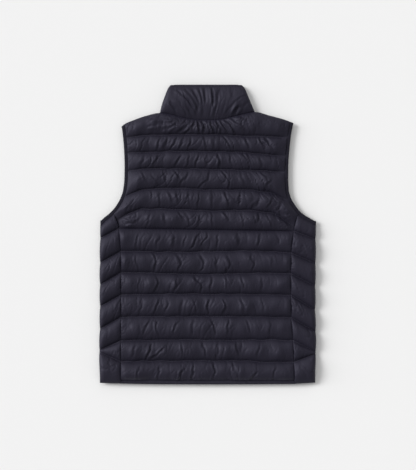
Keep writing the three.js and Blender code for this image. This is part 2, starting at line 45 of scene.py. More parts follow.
# Sizes are in millimetres unless a note says metres. A mesh gets them in metres when it is made.
cloth = {
    "cell": 3.0,  # side of a cell of the cloth on the back
    "sideStretch": 1.05,  # how much longer a cell is on the side panels
    "hiddenCell": 4.6,  # its side on the fronts, which face the surface
    "stitched": 2.6,  # thickness where it is sewn down
    "backLoft": 14.0,
    "frontLoft": 16.0,
    "pressed": 0.62,  # the share of the fronts' loft that the surface leaves
    "fullWidth": 52.0,  # a channel this wide swells fully
    "widthPower": 0.8,
    "roundness": 0.82,
    # How full the channels still are at a seam, how far from it they start to narrow down, and how roundly
    "atSeam": (0.6, 11.0, 0.5),
    "atArmhole": (0.2, 26.0, 0.8),
    "foldsFrom": 2.5,  # how soon the folds are whole beside a sewn line
    "frontInside": 10.0,  # height of the fronts' inner cloth
    "layerGap": 0.4,
    "seamGap": -0.16,  # below nothing, so the pieces lap a little where they are sewn
    "zipOpening": 10.0,  # from the middle to the edge of each front
}
backInside = cloth["frontInside"] + cloth["layerGap"]
middle = cloth["frontInside"] + cloth["layerGap"] / 2
halfSeam = cloth["seamGap"] / 2

swelling = {
    "scale": 0.01,  # the cloth is simulated at ten times its size
    "frames": 14,
    "quality": 5,
    "pressure": 2.6,
    "tension": 14.0,
    "shear": 4.0,
    "bending": 1.5,
    "excess": 0.12,  # how much more cloth there is than its stitching takes up
    "mass": 0.3,
}

# The sewn lines of the back, hem first: height at the two side folds and at seven places across the back.
linePlaces = (0, 0.14, 0.3, 0.5, 0.7, 0.86, 1)
lowerLines = [
    (-371.5, -373, -374.2, -374.8, -375, -374.9, -374.6, -374, -370.5),
    (-294, -318, -317, -316, -315, -316, -320, -319, -298),
    (-289, -265, -264, -263.5, -264, -263, -263, -264.5, -293),
    (-236, -206, -205.5, -205, -204.5, -205, -206, -208, -243),
    (-180, -150.5, -149.5, -149, -148.5, -149.5, -150, -152, -188),
    (-126, -94.5, -96, -97.5, -99.5, -97, -96, -97.5, -129),
    (-71, -42, -43, -44, -43, -40.5, -42, -46, -72),
    (-9, 15.5, 14.5, 13.5, 12, 10.5, 9.5, 8.5, -11),
]
yokeLines = [
    lowerLines[-1],
    (None, 35, 63, 64, 60, 60.5, 54, 18, None),
    (None, 95, 114, 116, 112, 113, 107, 86, None),
    (None, 160, 164.5, 165, 163.5, 161.5, 160, 156, None),
    (None, 205, 206.5, 208, 208.5, 206, 201, 196, None),
    (None, 243, 248, 250, 250.5, 247.5, 245, 243.5, None),
]
# Height, and the distance from the middle on the left and on the right.
sideFolds = [
    (-375, 269.6, 269.8), (-340, 270.2, 270), (-300, 272, 271.8), (-260, 271, 272),
    (-190, 270.3, 270.4), (-110, 270.4, 270.8), (-40, 270, 271.4), (34, 268.6, 271.6),
]
sideSeams = [
    (-375, 216.8, 217.5), (-315, 216.8, 215.8), (-262, 216.6, 213.5), (-205, 216.4, 209.5),
    (-95, 216.4, 208), (-35, 217.6, 210), (18, 222.5, 217.5), (60, 238, 229),
]
armholes = [
    (28, 272, 278), (41, 259.5, 254.5), (51, 247, 238.5), (61, 237, 228), (71, 229, 220.5),
    (91, 217.5, 208.5), (111, 211, 203), (141, 207.8, 201.4), (171, 207.3, 201.6), (211, 208.6, 204.3),
    (251, 212, 209), (290, 217.5, 217),
]
# From the left shoulder to the right: place across, and height on the back and on the front.
topEdge = [
    (-220, 263, 263), (-208, 276, 275), (-185, 286, 285), (-155, 296.5, 295), (-119, 304, 302),
    (-88, 299.5, 286), (-62, 292.5, 274), (-30, 287.6, 264.5), (0, 286.6, 262), (30, 287.8, 264.5),
    (62, 294.5, 274), (88, 301, 286), (119, 306.5, 303), (155, 297.5, 296), (190, 288, 286.5),
    (220, 276.5, 275),
]
collarSides = [(300, 120.5, 121), (326, 114.5, 110.8), (346, 107.5, 102.5), (366, 99.5, 94), (375, 94.5, 88)]


def mix(a, b, share):
    return a + (b - a) * share


def curveThrough(xs, ys):  # smooth, never past its points, straight on beyond its ends
    xs, ys = np.array(xs, float), np.array(ys, float)
    rises = np.diff(ys) / np.diff(xs)
    before, after = np.append(rises[0], rises), np.append(rises, rises[-1])
    total = np.where(before + after == 0, 1, before + after)
    slopes = np.where(before * after <= 0, 0, 2 * before * after / total)

    def at(x):
        x = np.asarray(x, float)
        i = np.clip(np.searchsorted(xs, x, side="left") - 1, 0, len(rises) - 1)
        span = xs[i + 1] - xs[i]
        s = (x - xs[i]) / span
        rise = ys[i + 1] - ys[i]
        bend = slopes[i] * (1 - s) - slopes[i + 1] * s
        inside = ys[i] + rise * s * s * (3 - 2 * s) + span * s * (1 - s) * bend
        low = ys[i] + slopes[i] * (x - xs[i])
        high = ys[i + 1] + slopes[i + 1] * (x - xs[i + 1])
        return np.where(s < 0, low, np.where(s > 1, high, inside))

    return at


def columnCurve(rows, along, value):
    return curveThrough([row[along] for row in rows], [row[value] for row in rows])


def lineCurve(line):
    return curveThrough(linePlaces, line[1:-1])


def crossing(f, low, high):  # where the value turns over, by halving
    sign = np.sign(f(low))
    for _ in range(40):
        half = (low + high) / 2
        if np.sign(f(half)) == sign:
            low = half
        else:
            high = half
    return (low + high) / 2


shoulderBack = columnCurve(topEdge, 0, 1)
shoulderFront = columnCurve(topEdge, 0, 2)

# The binding is cut across at even heights, and below a share of them its edge is a curve over x.
binding = {"width": 8.0, "thickness": 3.2, "ease": 0.4, "cuts": 34, "lowFrom": 0.6}


class Side:  # the outlines of one side, as distances from the middle
    def __init__(self, name):
        self.name, self.sign = name, -1 if name == "left" else 1
        column = 1 if name == "left" else 2
        self.armhole = columnCurve(armholes, 0, column)
        self.fold = columnCurve(sideFolds, 0, column)
        self.seam = columnCurve(sideSeams, 0, column)
        turn = binding["thickness"] + cloth["layerGap"] / 2
        self.topY = crossing(lambda y: shoulderBack(self.sign * self.armhole(y)) - turn - y, 240, 300)
        self.lowY = crossing(lambda y: self.armhole(y) - (self.fold(y) - turn), 26, 60)
        strand = self.sewnStrand(binding["cuts"])
        reach = binding["width"] + cloth["seamGap"] + binding["ease"]
        sewn = strand[:, :2] + strand[:, 2:] * reach
        self.innerX = curveThrough(sewn[::-1, 1], sewn[::-1, 0])
        low = sewn[int(binding["cuts"] * binding["lowFrom"]) + 1:]
        below = low[-1]
        innerCurve = curveThrough(low[:, 0], low[:, 1])
        self.innerY = lambda x: np.where(np.asarray(x) > below[0], below[1], innerCurve(x))
        self.seamTop = crossing(lambda y: self.seam(y) - self.innerX(y), 20, 90)

    def shoulderLean(self, x):  # over the width of the binding
        inner = x - binding["width"]
        return (shoulderBack(self.sign * x) - shoulderBack(self.sign * inner)) / binding["width"]

    def sewnStrand(self, cuts):  # rows of x, y and the way to the sewn edge
        rows = []
        for i in range(cuts + 1):
            y = mix(self.topY, self.lowY, i / cuts)
            x = float(self.armhole(y))
            square = np.array([-1, (self.armhole(y + 1) - self.armhole(y - 1)) / 2], float)
            square /= np.linalg.norm(square)
            along = square.copy()
            if i == 0:
                along = np.array([-1, -self.shoulderLean(x)], float)
            if i == cuts:
                along = np.array([0, -1], float)
            along /= np.linalg.norm(along)
            rows.append([x, y, *(along / along.dot(square))])
        return np.array(rows)

    def yokeEdge(self, y):
        return np.where(y < self.seamTop, self.seam(y) - halfSeam, self.innerX(y))


sides = {name: Side(name) for name in ("left", "right")}


def fullness(share, width):  # of a channel, at a share of its height
    wide = np.clip(width / cloth["fullWidth"], 0, 1) ** cloth["widthPower"]
    return np.clip(4 * share * (1 - share), 0, 1) ** cloth["roundness"] * wide


def narrowing(distance, edge="atSeam"):
    share, reach, power = cloth[edge]
    return mix(share, 1, np.clip(distance / reach, 0, 1) ** power)


# The main creases of each piece: where each starts and ends, and how deep it is.
creases = {
    "back_yoke": [
        (-147, 288, -76, 288, 3.4), (-147, 268, -86, 280, 3), (-112, 259, -70, 274, 2.4),
        (-43, 266, -61, 252, 3), (-58, 272, -78, 254, 2.6), (-34, 285, -38, 264, 3.2),
        (-24, 285, -22, 256, 3.6), (-14, 285, -7, 255, 4), (-3, 285, 5, 258, 3.2), (5, 285, 15, 254, 4),
        (12, 285, 24, 260, 3), (19, 285, 33, 254, 4.2), (31, 285, 47, 260, 3), (44, 287, 69, 252, 4.2),
        (55, 290, 91, 268, 4), (72, 295, 112, 280, 3), (-119, 241, -126, 214, 2),
        (-99, 241, -109, 214, 2), (-79, 241, -91, 214, 2.2), (-59, 244, -71, 216, 2),
        (-39, 241, -49, 214, 2), (-11, 244, -4, 214, 1.8), (16, 244, 16, 216, 2), (40, 242, 59, 214, 3),
        (91, 241, 104, 219, 3), (126, 244, 142, 218, 3.4), (141, 244, 161, 216, 3.4),
        (-156, 199, -166, 174, 1.6), (-124, 196, -136, 171, 1.8), (-65, 196, -81, 174, 2.2),
        (-44, 199, -54, 171, 1.6), (-21, 199, -29, 171, 2), (-1, 199, -4, 171, 1.6),
        (25, 202, 31, 171, 3), (54, 199, 61, 174, 1.8), (84, 202, 96, 190, 2), (96, 202, 108, 181, 2),
        (129, 194, 136, 169, 1.6), (-164, 156, -151, 134, 1.6), (-141, 149, -124, 129, 2.2),
        (-111, 156, -104, 126, 1.6), (-80, 159, -71, 141, 2.8), (-46, 156, -69, 125, 2),
        (-4, 134, -25, 116, 2), (6, 161, 1, 136, 1.6), (34, 159, 52, 138, 3), (52, 138, 52, 116, 2.6),
        (81, 156, 91, 129, 1.6), (132, 159, 145, 138, 2.2), (160, 134, 145, 119, 2),
        (-142, 106, -139, 89, 2), (-119, 106, -121, 71, 1.8), (-96, 106, -86, 81, 2.2),
        (-77, 104, -74, 81, 2.2), (-49, 104, -44, 74, 1.6), (-21, 104, -26, 69, 1.8),
        (9, 106, 11, 71, 1.6), (43, 106, 52, 76, 3), (81, 104, 76, 71, 1.6), (129, 89, 111, 64, 2),
        (166, 94, 151, 70, 2), (186, 84, 174, 61, 1.6), (-169, 44, -184, 26, 1.6),
        (-144, 51, -151, 26, 1.6), (-109, 49, -105, 29, 2), (-74, 54, -59, 41, 2),
        (-54, 51, -41, 21, 1.6), (-19, 51, -24, 21, 1.8), (9, 54, 11, 24, 1.6), (40, 57, 52, 39, 2.8),
        (84, 51, 91, 24, 1.8), (126, 51, 121, 24, 1.6), (179, 41, 197, 30, 2.2), (151, 46, 161, 21, 1.6),
        (-214, 30, -184, 23, 2.6), (-208, 40, -178, 42, 2.6), (-204, 50, -172, 60, 2.8),
        (186, 40, 208, 18, 3), (194, 50, 214, 34, 2.6), (170, 68, 188, 42, 2.4),
    ],
    "back_panel": [
        (-174, -4, -179, -29, 1.6), (-119, -4, -126, -24, 2), (-84, -4, -86, -31, 2),
        (-54, -1, -61, -29, 1.6), (-21, 4, -41, -34, 3), (-1, 1, -16, -26, 2.4), (26, -1, 21, -29, 1.6),
        (72, 1, 80, -19, 2), (132, 1, 126, -26, 1.8), (171, -1, 176, -24, 1.2),
        (-136, -51, -126, -69, 2.2), (-126, -69, -134, -89, 2), (-76, -51, -66, -71, 2.4),
        (-66, -71, -74, -89, 2), (-18, -51, -9, -71, 2.4), (-9, -71, -16, -89, 2),
        (19, -54, 24, -86, 1.6), (49, -51, 56, -71, 2), (56, -71, 49, -89, 1.8), (109, -54, 116, -74, 2),
        (116, -74, 109, -89, 1.6), (-179, -54, -174, -84, 1.4), (161, -56, 164, -84, 1.2),
        (-126, -109, -124, -124, 2), (-124, -124, -131, -139, 2), (-76, -109, -76, -124, 2.2),
        (-76, -124, -84, -139, 2), (-33, -106, -17, -126, 3), (-17, -126, -16, -141, 2),
        (10, -109, 6, -139, 2), (44, -109, 49, -136, 1.6), (84, -109, 89, -129, 2),
        (136, -111, 134, -136, 1.4), (-169, -109, -174, -139, 1.4), (-164, -164, -169, -194, 1.4),
        (-121, -164, -134, -194, 2.2), (-99, -166, -106, -189, 2), (-64, -161, -69, -194, 1.6),
        (-34, -164, -29, -194, 1.6), (2, -164, 0, -194, 3), (41, -164, 47, -179, 2.4),
        (47, -179, 37, -198, 2), (84, -164, 89, -191, 1.6), (136, -164, 139, -191, 1.4),
        (-145, -216, -161, -244, 2.2), (-130, -216, -124, -249, 2), (-71, -216, -86, -241, 2.2),
        (-36, -216, -41, -249, 1.6), (10, -216, 20, -244, 2.6), (54, -216, 49, -246, 1.8),
        (99, -216, 106, -244, 1.6), (156, -219, 154, -246, 1.2), (-181, -276, -189, -304, 1.6),
        (-141, -276, -154, -311, 3), (-110, -284, -141, -311, 2.6), (-64, -271, -64, -301, 2),
        (-14, -271, -6, -301, 2), (26, -274, 21, -304, 1.6), (71, -271, 79, -301, 1.6),
        (129, -274, 124, -301, 1.4), (-169, -329, -179, -364, 1.8), (-119, -329, -126, -364, 1.6),
        (-60, -338, -75, -369, 2.8), (-36, -329, -40, -364, 2.4), (14, -321, 20, -341, 2.2),
        (20, -341, 10, -364, 2), (61, -321, 71, -346, 2), (123, -345, 96, -372, 2.2),
        (169, -331, 161, -364, 1.4),
    ],
    # These also bow to one side, by the last number.
    "collar": [
        (-80, 361, -30, 305, 2.4, 5), (-60, 363, -26, 311, 3.2, 6), (-44, 363, -21, 316, 3.0, 5),
        (-23, 364, -14, 328, 2.6, 2), (-11, 366, -6, 332, 2.4, 1), (9, 367, 13, 324, 3.2, 1),
        (-83, 338, -42, 304, 2.0, 3), (30, 364, 24, 330, 1.8, -2), (74, 318, 61, 298, 2.6, -2),
        (83, 322, 67, 297, 3.0, -3), (92, 347, 45, 303, 1.3, -5), (-98, 330, -80, 308, 2.2, 2),
        (-12, 322, -14, 296, 1.2, 1), (22, 322, 14, 294, 1.2, -1), (58, 362, 62, 340, 1.0, 1),
        (-66, 318, -52, 298, 1.8, 1), (98, 330, 86, 312, 1.6, -2),
    ],
}
creaseShape = {
    "half": 2.9,
    "narrowest": 0.75,
    "varied": 0.25,
    "bowedWide": 1.35,
    "troughAt": 0.4,
    "ridge": 0.7,
    "ridgeAt": 1.1,
    "ridgeWide": 1.3,
    "fade": 12.0,
    "fadeFrom": 0.6,
    "wander": 5.0,
    "collarWander": 0.3,
    "wanderPitch": (17, 15),
}


def noiseAt(a, b, seed):
    points = np.stack([a, b, np.full(a.shape, float(seed))], axis=-1).reshape(-1, 3)
    return np.array([noise.noise(p) for p in points]).reshape(a.shape)


def creaseDepth(name, x, y):  # a trough with a softer ridge beside it, wandering a little
    depth = np.zeros(x.shape)
    if name not in creases:
        return depth
    shape = creaseShape
    sway = shape["wander"] * (shape["collarWander"] if name == "collar" else 1)
    wide, tall = shape["wanderPitch"]
    x, y = x + sway * noiseAt(x / wide, y / wide, 70), y + sway * noiseAt(x / tall, y / tall, 71)
    for i, (x0, y0, x1, y1, deep, *bow) in enumerate(creases[name]):
        half = shape["half"] * (shape["narrowest"] + shape["varied"] * (i * 7 % 5) / 2)
        half *= shape["bowedWide"] if bow else 1
        along = np.array([x1 - x0, y1 - y0], float)
        length = np.linalg.norm(along)
        along /= length
        reach = (x - x0) * along[0] + (y - y0) * along[1]
        off = (y - y0) * along[0] - (x - x0) * along[1] - sum(bow) * (1 - (2 * reach / length - 1) ** 2)
        fade = np.clip(np.minimum(reach, length - reach) / shape["fade"] + shape["fadeFrom"], 0, 1)
        trough = np.exp(-(((off - half * shape["troughAt"]) / half) ** 2))
        ridge = np.exp(-(((off + half * shape["ridgeAt"]) / (half * shape["ridgeWide"])) ** 2))
        depth += deep * fade * (shape["ridge"] * ridge - trough)
    return depth


# How the small folds lean, as the run across for each millimetre up, at places from the left to the right.
leanPlaces = (-220, -120, -40, 15, 55, 130, 220)
leans = {
    "back_yoke": (0.3, 0.5, 0.55, 0.25, -0.35, -0.6, -0.45),
    "back_panel": (0.25, 0.35, 0.3, 0.15, -0.1, -0.2, -0.1),
}
# How marked they are, at four such places, and how much of the spare cloth there is, at three
calmPlaces = (-220, 50, 150, 220)
calmness = {"back_yoke": (1.0, 1.1, 1.25, 1.05), "back_panel": (1.0, 1.0, 0.6, 0.4)}
slackPlaces, slackShares = (-220, 40, 220), (1.0, 0.9, 0.6)
folds = {
    "pitch": 15.0,
    "lowerPitch": 19.0,
    "lowerDepth": 0.85,
    "hiddenPitch": 14,
    "finer": 0.3,
    "finerPitch": 9.0,
    "longer": 2.4,
    "sharp": 0.075,
    "crest": 0.3,
    "bend": 0.45,
    "bendAcross": 2.6,
    "bendAlong": 1.6,
    "leanSpread": 0.35,
    "leanPitch": 60,
    # Patches with many folds and with few: their size, and the mean, spread and limits of the folds' depth
    "patch": 46.0,
    "patchAlong": 0.8,
    "patchMean": 0.7,
    "patchSpread": 2.4,
    "patchLimits": (0.12, 1.5),
}


def foldNoise(across, along, seed, pitch=folds["pitch"]):  # narrow valleys, many here and few there
    wide, tall = folds["bendAcross"] * pitch, folds["bendAlong"] * pitch
    bend = folds["bend"] * noiseAt(across / wide, along / tall, seed + 80)
    fine = noiseAt(across / pitch + bend, along / (pitch * folds["longer"]), seed)
    broad = noiseAt(across / folds["patch"], along / folds["patch"] * folds["patchAlong"], seed + 40)
    valleys = folds["crest"] - np.exp(-np.abs(fine) / folds["sharp"])
    return valleys * np.clip(folds["patchMean"] + folds["patchSpread"] * broad, *folds["patchLimits"])


# How far a sewn line wanders, over which length, and how near a seam it runs straight again
sewing = {"wander": 2.4, "wanderPitch": 22, "straightEnd": 14, "fewestRows": 6, "fewestColumns": 8}


def channelRows(heights, cell):  # heights of the sewn lines at the middle, to rows of (channel, share)
    rows = []
    for k, (low, high) in enumerate(zip(heights, heights[1:])):
        count = max(sewing["fewestRows"], round((high - low) / cell))
        rows += [(k, i / count) for i in range(count)]
    return rows + [(len(heights) - 2, 1.0)]


def wander(k, x, count):  # a sewn line is never quite straight, apart from the first and the last
    if k in (0, count - 1):
        return 0
    return sewing["wander"] * noiseAt(x / sewing["wanderPitch"], np.full(x.shape, k * 3.7), 90)


# The places of the cloth's points, how full it is there, where in its channel each is, and the sewn rows
def panelGrid(lines, top, topEnds, edges, cell, gaps, across, edgeKind="atSeam"):
    curves = [lineCurve(line) for line in lines]
    ends = [(line[1], line[-2]) for line in lines] + ([topEnds] if top else [])
    centre = [float(curve(0.5)) for curve in curves] + ([float(top(0.0))] if top else [])
    rows = channelRows(centre, cell)
    width = float(edges[1](centre[0]) - edges[0](centre[0]))
    columns = np.linspace(0, 1, max(sewing["fewestColumns"], round(width / cell)) + 1)
    places = across(columns)
    x, y, full, share, rise, edge = (np.zeros((len(rows), len(columns))) for _ in range(6))
    for r, (k, s) in enumerate(rows):
        left = float(edges[0](mix(ends[k][0], ends[k + 1][0], s)))
        right = float(edges[1](mix(ends[k][1], ends[k + 1][1], s)))
        x[r] = mix(left, right, columns)
        edge[r] = np.minimum(x[r] - left, right - x[r])
        free = np.clip(edge[r] / sewing["straightEnd"], 0, 1)
        low = curves[k](places) + free * wander(k, x[r], len(ends))
        high = curves[k + 1](places) if k + 1 < len(curves) else top(x[r])
        high = high + free * wander(k + 1, x[r], len(ends))
        shift = gaps[0] if r == 0 else -gaps[1] if r == len(rows) - 1 else 0
        y[r] = mix(low, high, s) + shift
        full[r] = fullness(s, high - low) * narrowing(edge[r], edgeKind)
        share[r] = s
        rise[r] = high - low
    sewn = [r for r in range(1, len(rows) - 1) if rows[r][1] == 0]
    return x, y, full, share, rise, edge, np.array([k for k, _ in rows]), sewn


def heldPoints(shape, sewn):  # the edges all along, and every other point of a sewn line
    held = np.zeros(shape, bool)
    held[0] = held[-1] = True
    held[:, 0] = held[:, -1] = True
    for r in sewn:
        held[r, ::2] = True
    return held


class Patch:  # a grid of cloth points with what is sewn down, its limits and how much more cloth it has
    def __init__(self, name, points, held, sewn, inner, low, high, outward=1, excess=1.0):
        self.name, self.points, self.held, self.sewn, self.inner = name, points, held, sewn, inner
        self.low, self.high, self.outward = low, high, outward
        self.excess = np.broadcast_to(excess, held.shape)
        # For the puckers: distances from a sewn line and a seam, and places across and along the folds
        self.nearLine = self.nearEdge = self.acrossFold = self.alongFold = None
        self.calm = np.ones(held.shape)


farOff = 40.0  # a distance at which a seam no longer matters
# The cloth before it swells: how full, how folded and creased, and how far it may rise and sink from there
start = {"loft": 0.9, "folds": 1.55, "creases": 0.7, "headroom": 3.5, "sink": 0.6}
uneven = {"amount": 0.5, "pitch": 32}
neck = {"reach": 125.0, "ends": 25, "fan": 130.0, "pitch": 8.5, "fade": 24.0, "depth": 3.0}
hemShape = {"height": 9, "full": 0.16, "reach": 7, "least": 0.05, "power": 0.4}


def backPatch(name, lines, top, topEnds, edges, gaps, excess, seed):
    same = lambda columns: columns
    edgeKind = "atArmhole" if top else "atSeam"
    x, y, full, share, rise, edge, channel, sewn = panelGrid(
        lines, top, topEnds, edges, cloth["cell"], gaps, same, edgeKind,
    )
    base = backInside + cloth["stitched"]
    nearLine = np.minimum(share, 1 - share) * rise
    if not top:  # the hem's own stitching, just above its edge
        above = y[:, y.shape[1] // 2] - y[0, y.shape[1] // 2]
        row = int(np.argmin(np.abs(above - hemShape["height"])))
        sewn = [row, *sewn]
        nearLine = np.minimum(nearLine, np.abs(y - y[row]))
        beside = np.clip(nearLine / hemShape["reach"], hemShape["least"], 1) ** hemShape["power"]
        full = np.where(above[:, None] < hemShape["height"], hemShape["full"], full * beside)
    held = heldPoints(x.shape, sewn)
    bulges = noiseAt(x / uneven["pitch"], channel[:, None] * 2.7 + share * 1.1, seed + 5)
    full *= 1 + uneven["amount"] * bulges * np.clip(full, 0, 1)
    calm = np.interp(x, calmPlaces, calmness[name])
    drift = noiseAt(x / folds["leanPitch"], channel[:, None] * np.full(x.shape, 5.3), seed)
    lean = np.interp(x, leanPlaces, leans[name]) + folds["leanSpread"] * drift
    across = x - lean * (share - 0.5) * rise + channel[:, None] * 37
    along = (share - 0.5) * rise
    z = base + cloth["backLoft"] * start["loft"] * full
    small = foldNoise(across, along, seed, folds["pitch"] if top else folds["lowerPitch"])
    small += folds["finer"] * foldNoise(across, along, seed + 9, folds["finerPitch"])
    small *= start["folds"] * calm * (1 if top else folds["lowerDepth"])
    if top:  # gathers that fan out below the neck seam
        below = np.where(channel[:, None] == len(lines) - 1, (1 - share) * rise, 99)
        gathers = foldNoise(x * (1 - below / neck["fan"]), below, seed + 3, neck["pitch"])
        gathers *= np.exp(-below / neck["fade"])
        small += neck["depth"] * gathers * np.clip((neck["reach"] - np.abs(x)) / neck["ends"], 0, 1)
    z += (small + creaseDepth(name, x, y) * start["creases"]) * np.clip(full * cloth["foldsFrom"], 0, 1)
    z[sewn] = z[0] = z[-1] = base
    low = np.full(x.shape, base - start["sink"])
    high = base + cloth["backLoft"] * full + start["headroom"]
    more = excess * np.interp(x, slackPlaces, slackShares)
    patch = Patch(name, np.dstack([x, y, z]), held, sewn, backInside, low, high, 1, more)
    patch.nearLine, patch.nearEdge, patch.acrossFold, patch.alongFold = nearLine, edge, across, along
    patch.calm = calm
    return patch


seams = [lambda y: halfSeam - sides["left"].seam(y), lambda y: sides["right"].seam(y) - halfSeam]
yokeEdges = [lambda y: -sides["left"].yokeEdge(y), lambda y: sides["right"].yokeEdge(y)]
yokeTips = [crossing(lambda y: shoulderBack(s.sign * s.innerX(y)) - y, 240, 300) for s in sides.values()]
panel = backPatch("back_panel", lowerLines, None, None, seams, (0, halfSeam), 0.7, 3.0)
yoke = backPatch("back_yoke", yokeLines, shoulderBack, yokeTips, yokeEdges, (halfSeam, halfSeam), 1.0, 8.0)


def frontPatch(side):
    sign = side.sign
    lines = lowerLines + yokeLines[1:]
    tip = crossing(lambda y: shoulderFront(sign * side.innerX(y)) - y, 240, 300)
    opening = lambda y: sign * cloth["zipOpening"]
    outer = lambda y: sign * side.yokeEdge(y)
    edges = [outer, opening] if sign < 0 else [opening, outer]
    across = lambda columns: columns / 2 + (0.5 if sign > 0 else 0)
    x, y, full, _, _, _, channel, sewn = panelGrid(
        lines, shoulderFront, (tip, tip), edges, cloth["hiddenCell"], (0, cloth["seamGap"]), across,
    )
    base = cloth["frontInside"] - cloth["stitched"]
    small = foldNoise(x + channel[:, None] * 31, y, 20 + sign, folds["hiddenPitch"])
    z = base - cloth["frontLoft"] * cloth["pressed"] * full - small * np.sqrt(full)
    z[sewn] = z[0] = z[-1] = base
    points, held = np.dstack([x, y, z]), heldPoints(x.shape, sewn)
    low, high = np.zeros(x.shape), np.full(x.shape, base + 0.5)
    return Patch(f"front_{side.name}", points, held, sewn, cloth["frontInside"], low, high, -1, 0.5)


# The side panels turn round the side fold, where they are pinched in at each sewn line
foldShape = {"depth": 12.0, "pinch": 1.6, "arc": 9, "flat": 15, "lean": 0.45, "lowest": 0.5}


def sidePatch(side):
    sign, key = side.sign, 0 if side.sign < 0 else -1
    at = 1 if side.sign < 0 else -2
    lines = [(line[at], line[key]) for line in lowerLines]
    foldTop = float(side.innerY(300))
    topFrom = float(side.seam(side.seamTop)) + halfSeam
    centre = [mix(*line, 0.5) for line in lines] + [mix(side.seamTop, foldTop, 0.5)]
    rows = channelRows(centre, cloth["cell"] * cloth["sideStretch"])
    flats = np.linspace(0, 1, foldShape["flat"])
    angles = np.linspace(0, math.pi, foldShape["arc"] + 2)[1:-1]
    points, inners, nearLine, nearEdge, acrossFold = [], [], [], [], []
    base, under = backInside + cloth["stitched"], cloth["frontInside"] - cloth["stitched"]
    for k, s in rows:
        low, high = lines[k], lines[k + 1] if k + 1 < len(lines) else (side.seamTop, foldTop)
        seamX = float(side.seam(mix(low[0], high[0], s))) + halfSeam
        edgeX = float(side.fold(mix(low[1], high[1], s)))
        ending = s if k == 0 else 1 - s if k + 1 == len(lines) else 1  # no pinch at the hem and the armhole
        edgeX -= foldShape["pinch"] * (1 - float(fullness(s, high[1] - low[1]))) * ending
        bend = edgeX - foldShape["depth"]

        def place(x):
            out = (x - seamX) / (edgeX - seamX)
            below = mix(low[0], low[1], out)
            above = side.innerY(mix(topFrom, edgeX, out))
            if k + 1 < len(lines):
                above = mix(high[0], high[1], out)
            return mix(below, above, s), fullness(s, above - below) * narrowing(x - seamX), above - below

        x = mix(seamX, bend, flats)
        y, full, rise = place(x)
        across = x + foldShape["lean"] * (s - 0.5) * rise + k * 41
        small = foldNoise(across, (s - 0.5) * rise, 31 + sign) * start["folds"]
        small *= np.clip(full * cloth["foldsFrom"], 0, 1)
        top = base + cloth["backLoft"] * start["loft"] * full + small
        bottom = np.maximum(foldShape["lowest"], under - cloth["frontLoft"] * cloth["pressed"] * full)
        arcX = bend + foldShape["depth"] * np.sin(angles)
        reach = np.where(angles < math.pi / 2, top[-1] - middle, middle - bottom[-1])
        arcY, _, _ = place(arcX)
        inside = bend + (foldShape["depth"] - cloth["stitched"]) * np.sin(angles)
        points.append(np.concatenate([
            np.column_stack([sign * x, y, top]),
            np.column_stack([sign * arcX, arcY, middle + reach * np.cos(angles)]),
            np.column_stack([sign * x, y, bottom])[::-1],
        ]))
        inners.append(np.concatenate([
            np.column_stack([sign * x, y, np.full(x.shape, backInside)]),
            np.column_stack([sign * inside, arcY, middle + cloth["layerGap"] / 2 * np.cos(angles)]),
            np.column_stack([sign * x, y, np.full(x.shape, cloth["frontInside"])])[::-1],
        ]))
        near = np.full(len(points[-1]), farOff)
        near[:len(x)] = min(s, 1 - s) * rise
        nearLine.append(near)
        nearEdge.append(np.pad(x - seamX, (0, len(near) - len(x)), constant_values=farOff))
        acrossFold.append(np.pad(across, (0, len(near) - len(x)), mode="edge"))
    points, inners = np.array(points), np.array(inners)
    sewn = [r for r in range(1, len(rows) - 1) if rows[r][1] == 0]
    held = heldPoints(points.shape[:2], sewn)
    high = np.full(held.shape, base + cloth["backLoft"] + start["headroom"])
    low = np.zeros(held.shape)
    patch = Patch(f"side_panel_{side.name}", points, held, sewn, inners, low, high, sign, 0.8)
    patch.nearLine, patch.nearEdge = np.array(nearLine), np.array(nearEdge)
    patch.acrossFold, patch.alongFold = np.array(acrossFold), points[..., 1]
    return patch


collarShape = {
    "stitched": 2.6,
    "loft": 9.5,
    "startLoft": 0.8,
    "headroom": 4.5,
    "height": 87,
    "edgeRow": 5.0,  # its upper edge's stitching, below the edge
    "edge": 4.2,
    "edgeRows": (0.962, 0.985, 1.0),
    "edgeHeights": (4.9, 4.0, 1.6),
    "cells": 27,
    "frontCells": 22,
    "backCells": 80,
    "arc": 9,
    "foldDepth": 10.0,
    "corner": 119,
    "cornerDrop": 0.8,
    "cornerRound": 3.2,
    "top": 375,
    "topFront": 342,
    "frontDip": 1.5,
    "ease": -0.5,
    "frontEase": 0.8,
    "fan": (4, 225),  # the folds fan out from this point below the middle of its seam
    "fanReach": 95,
    "foldPitch": 12.0,
    "folds": 0.6,
    "creases": 0.88,
}


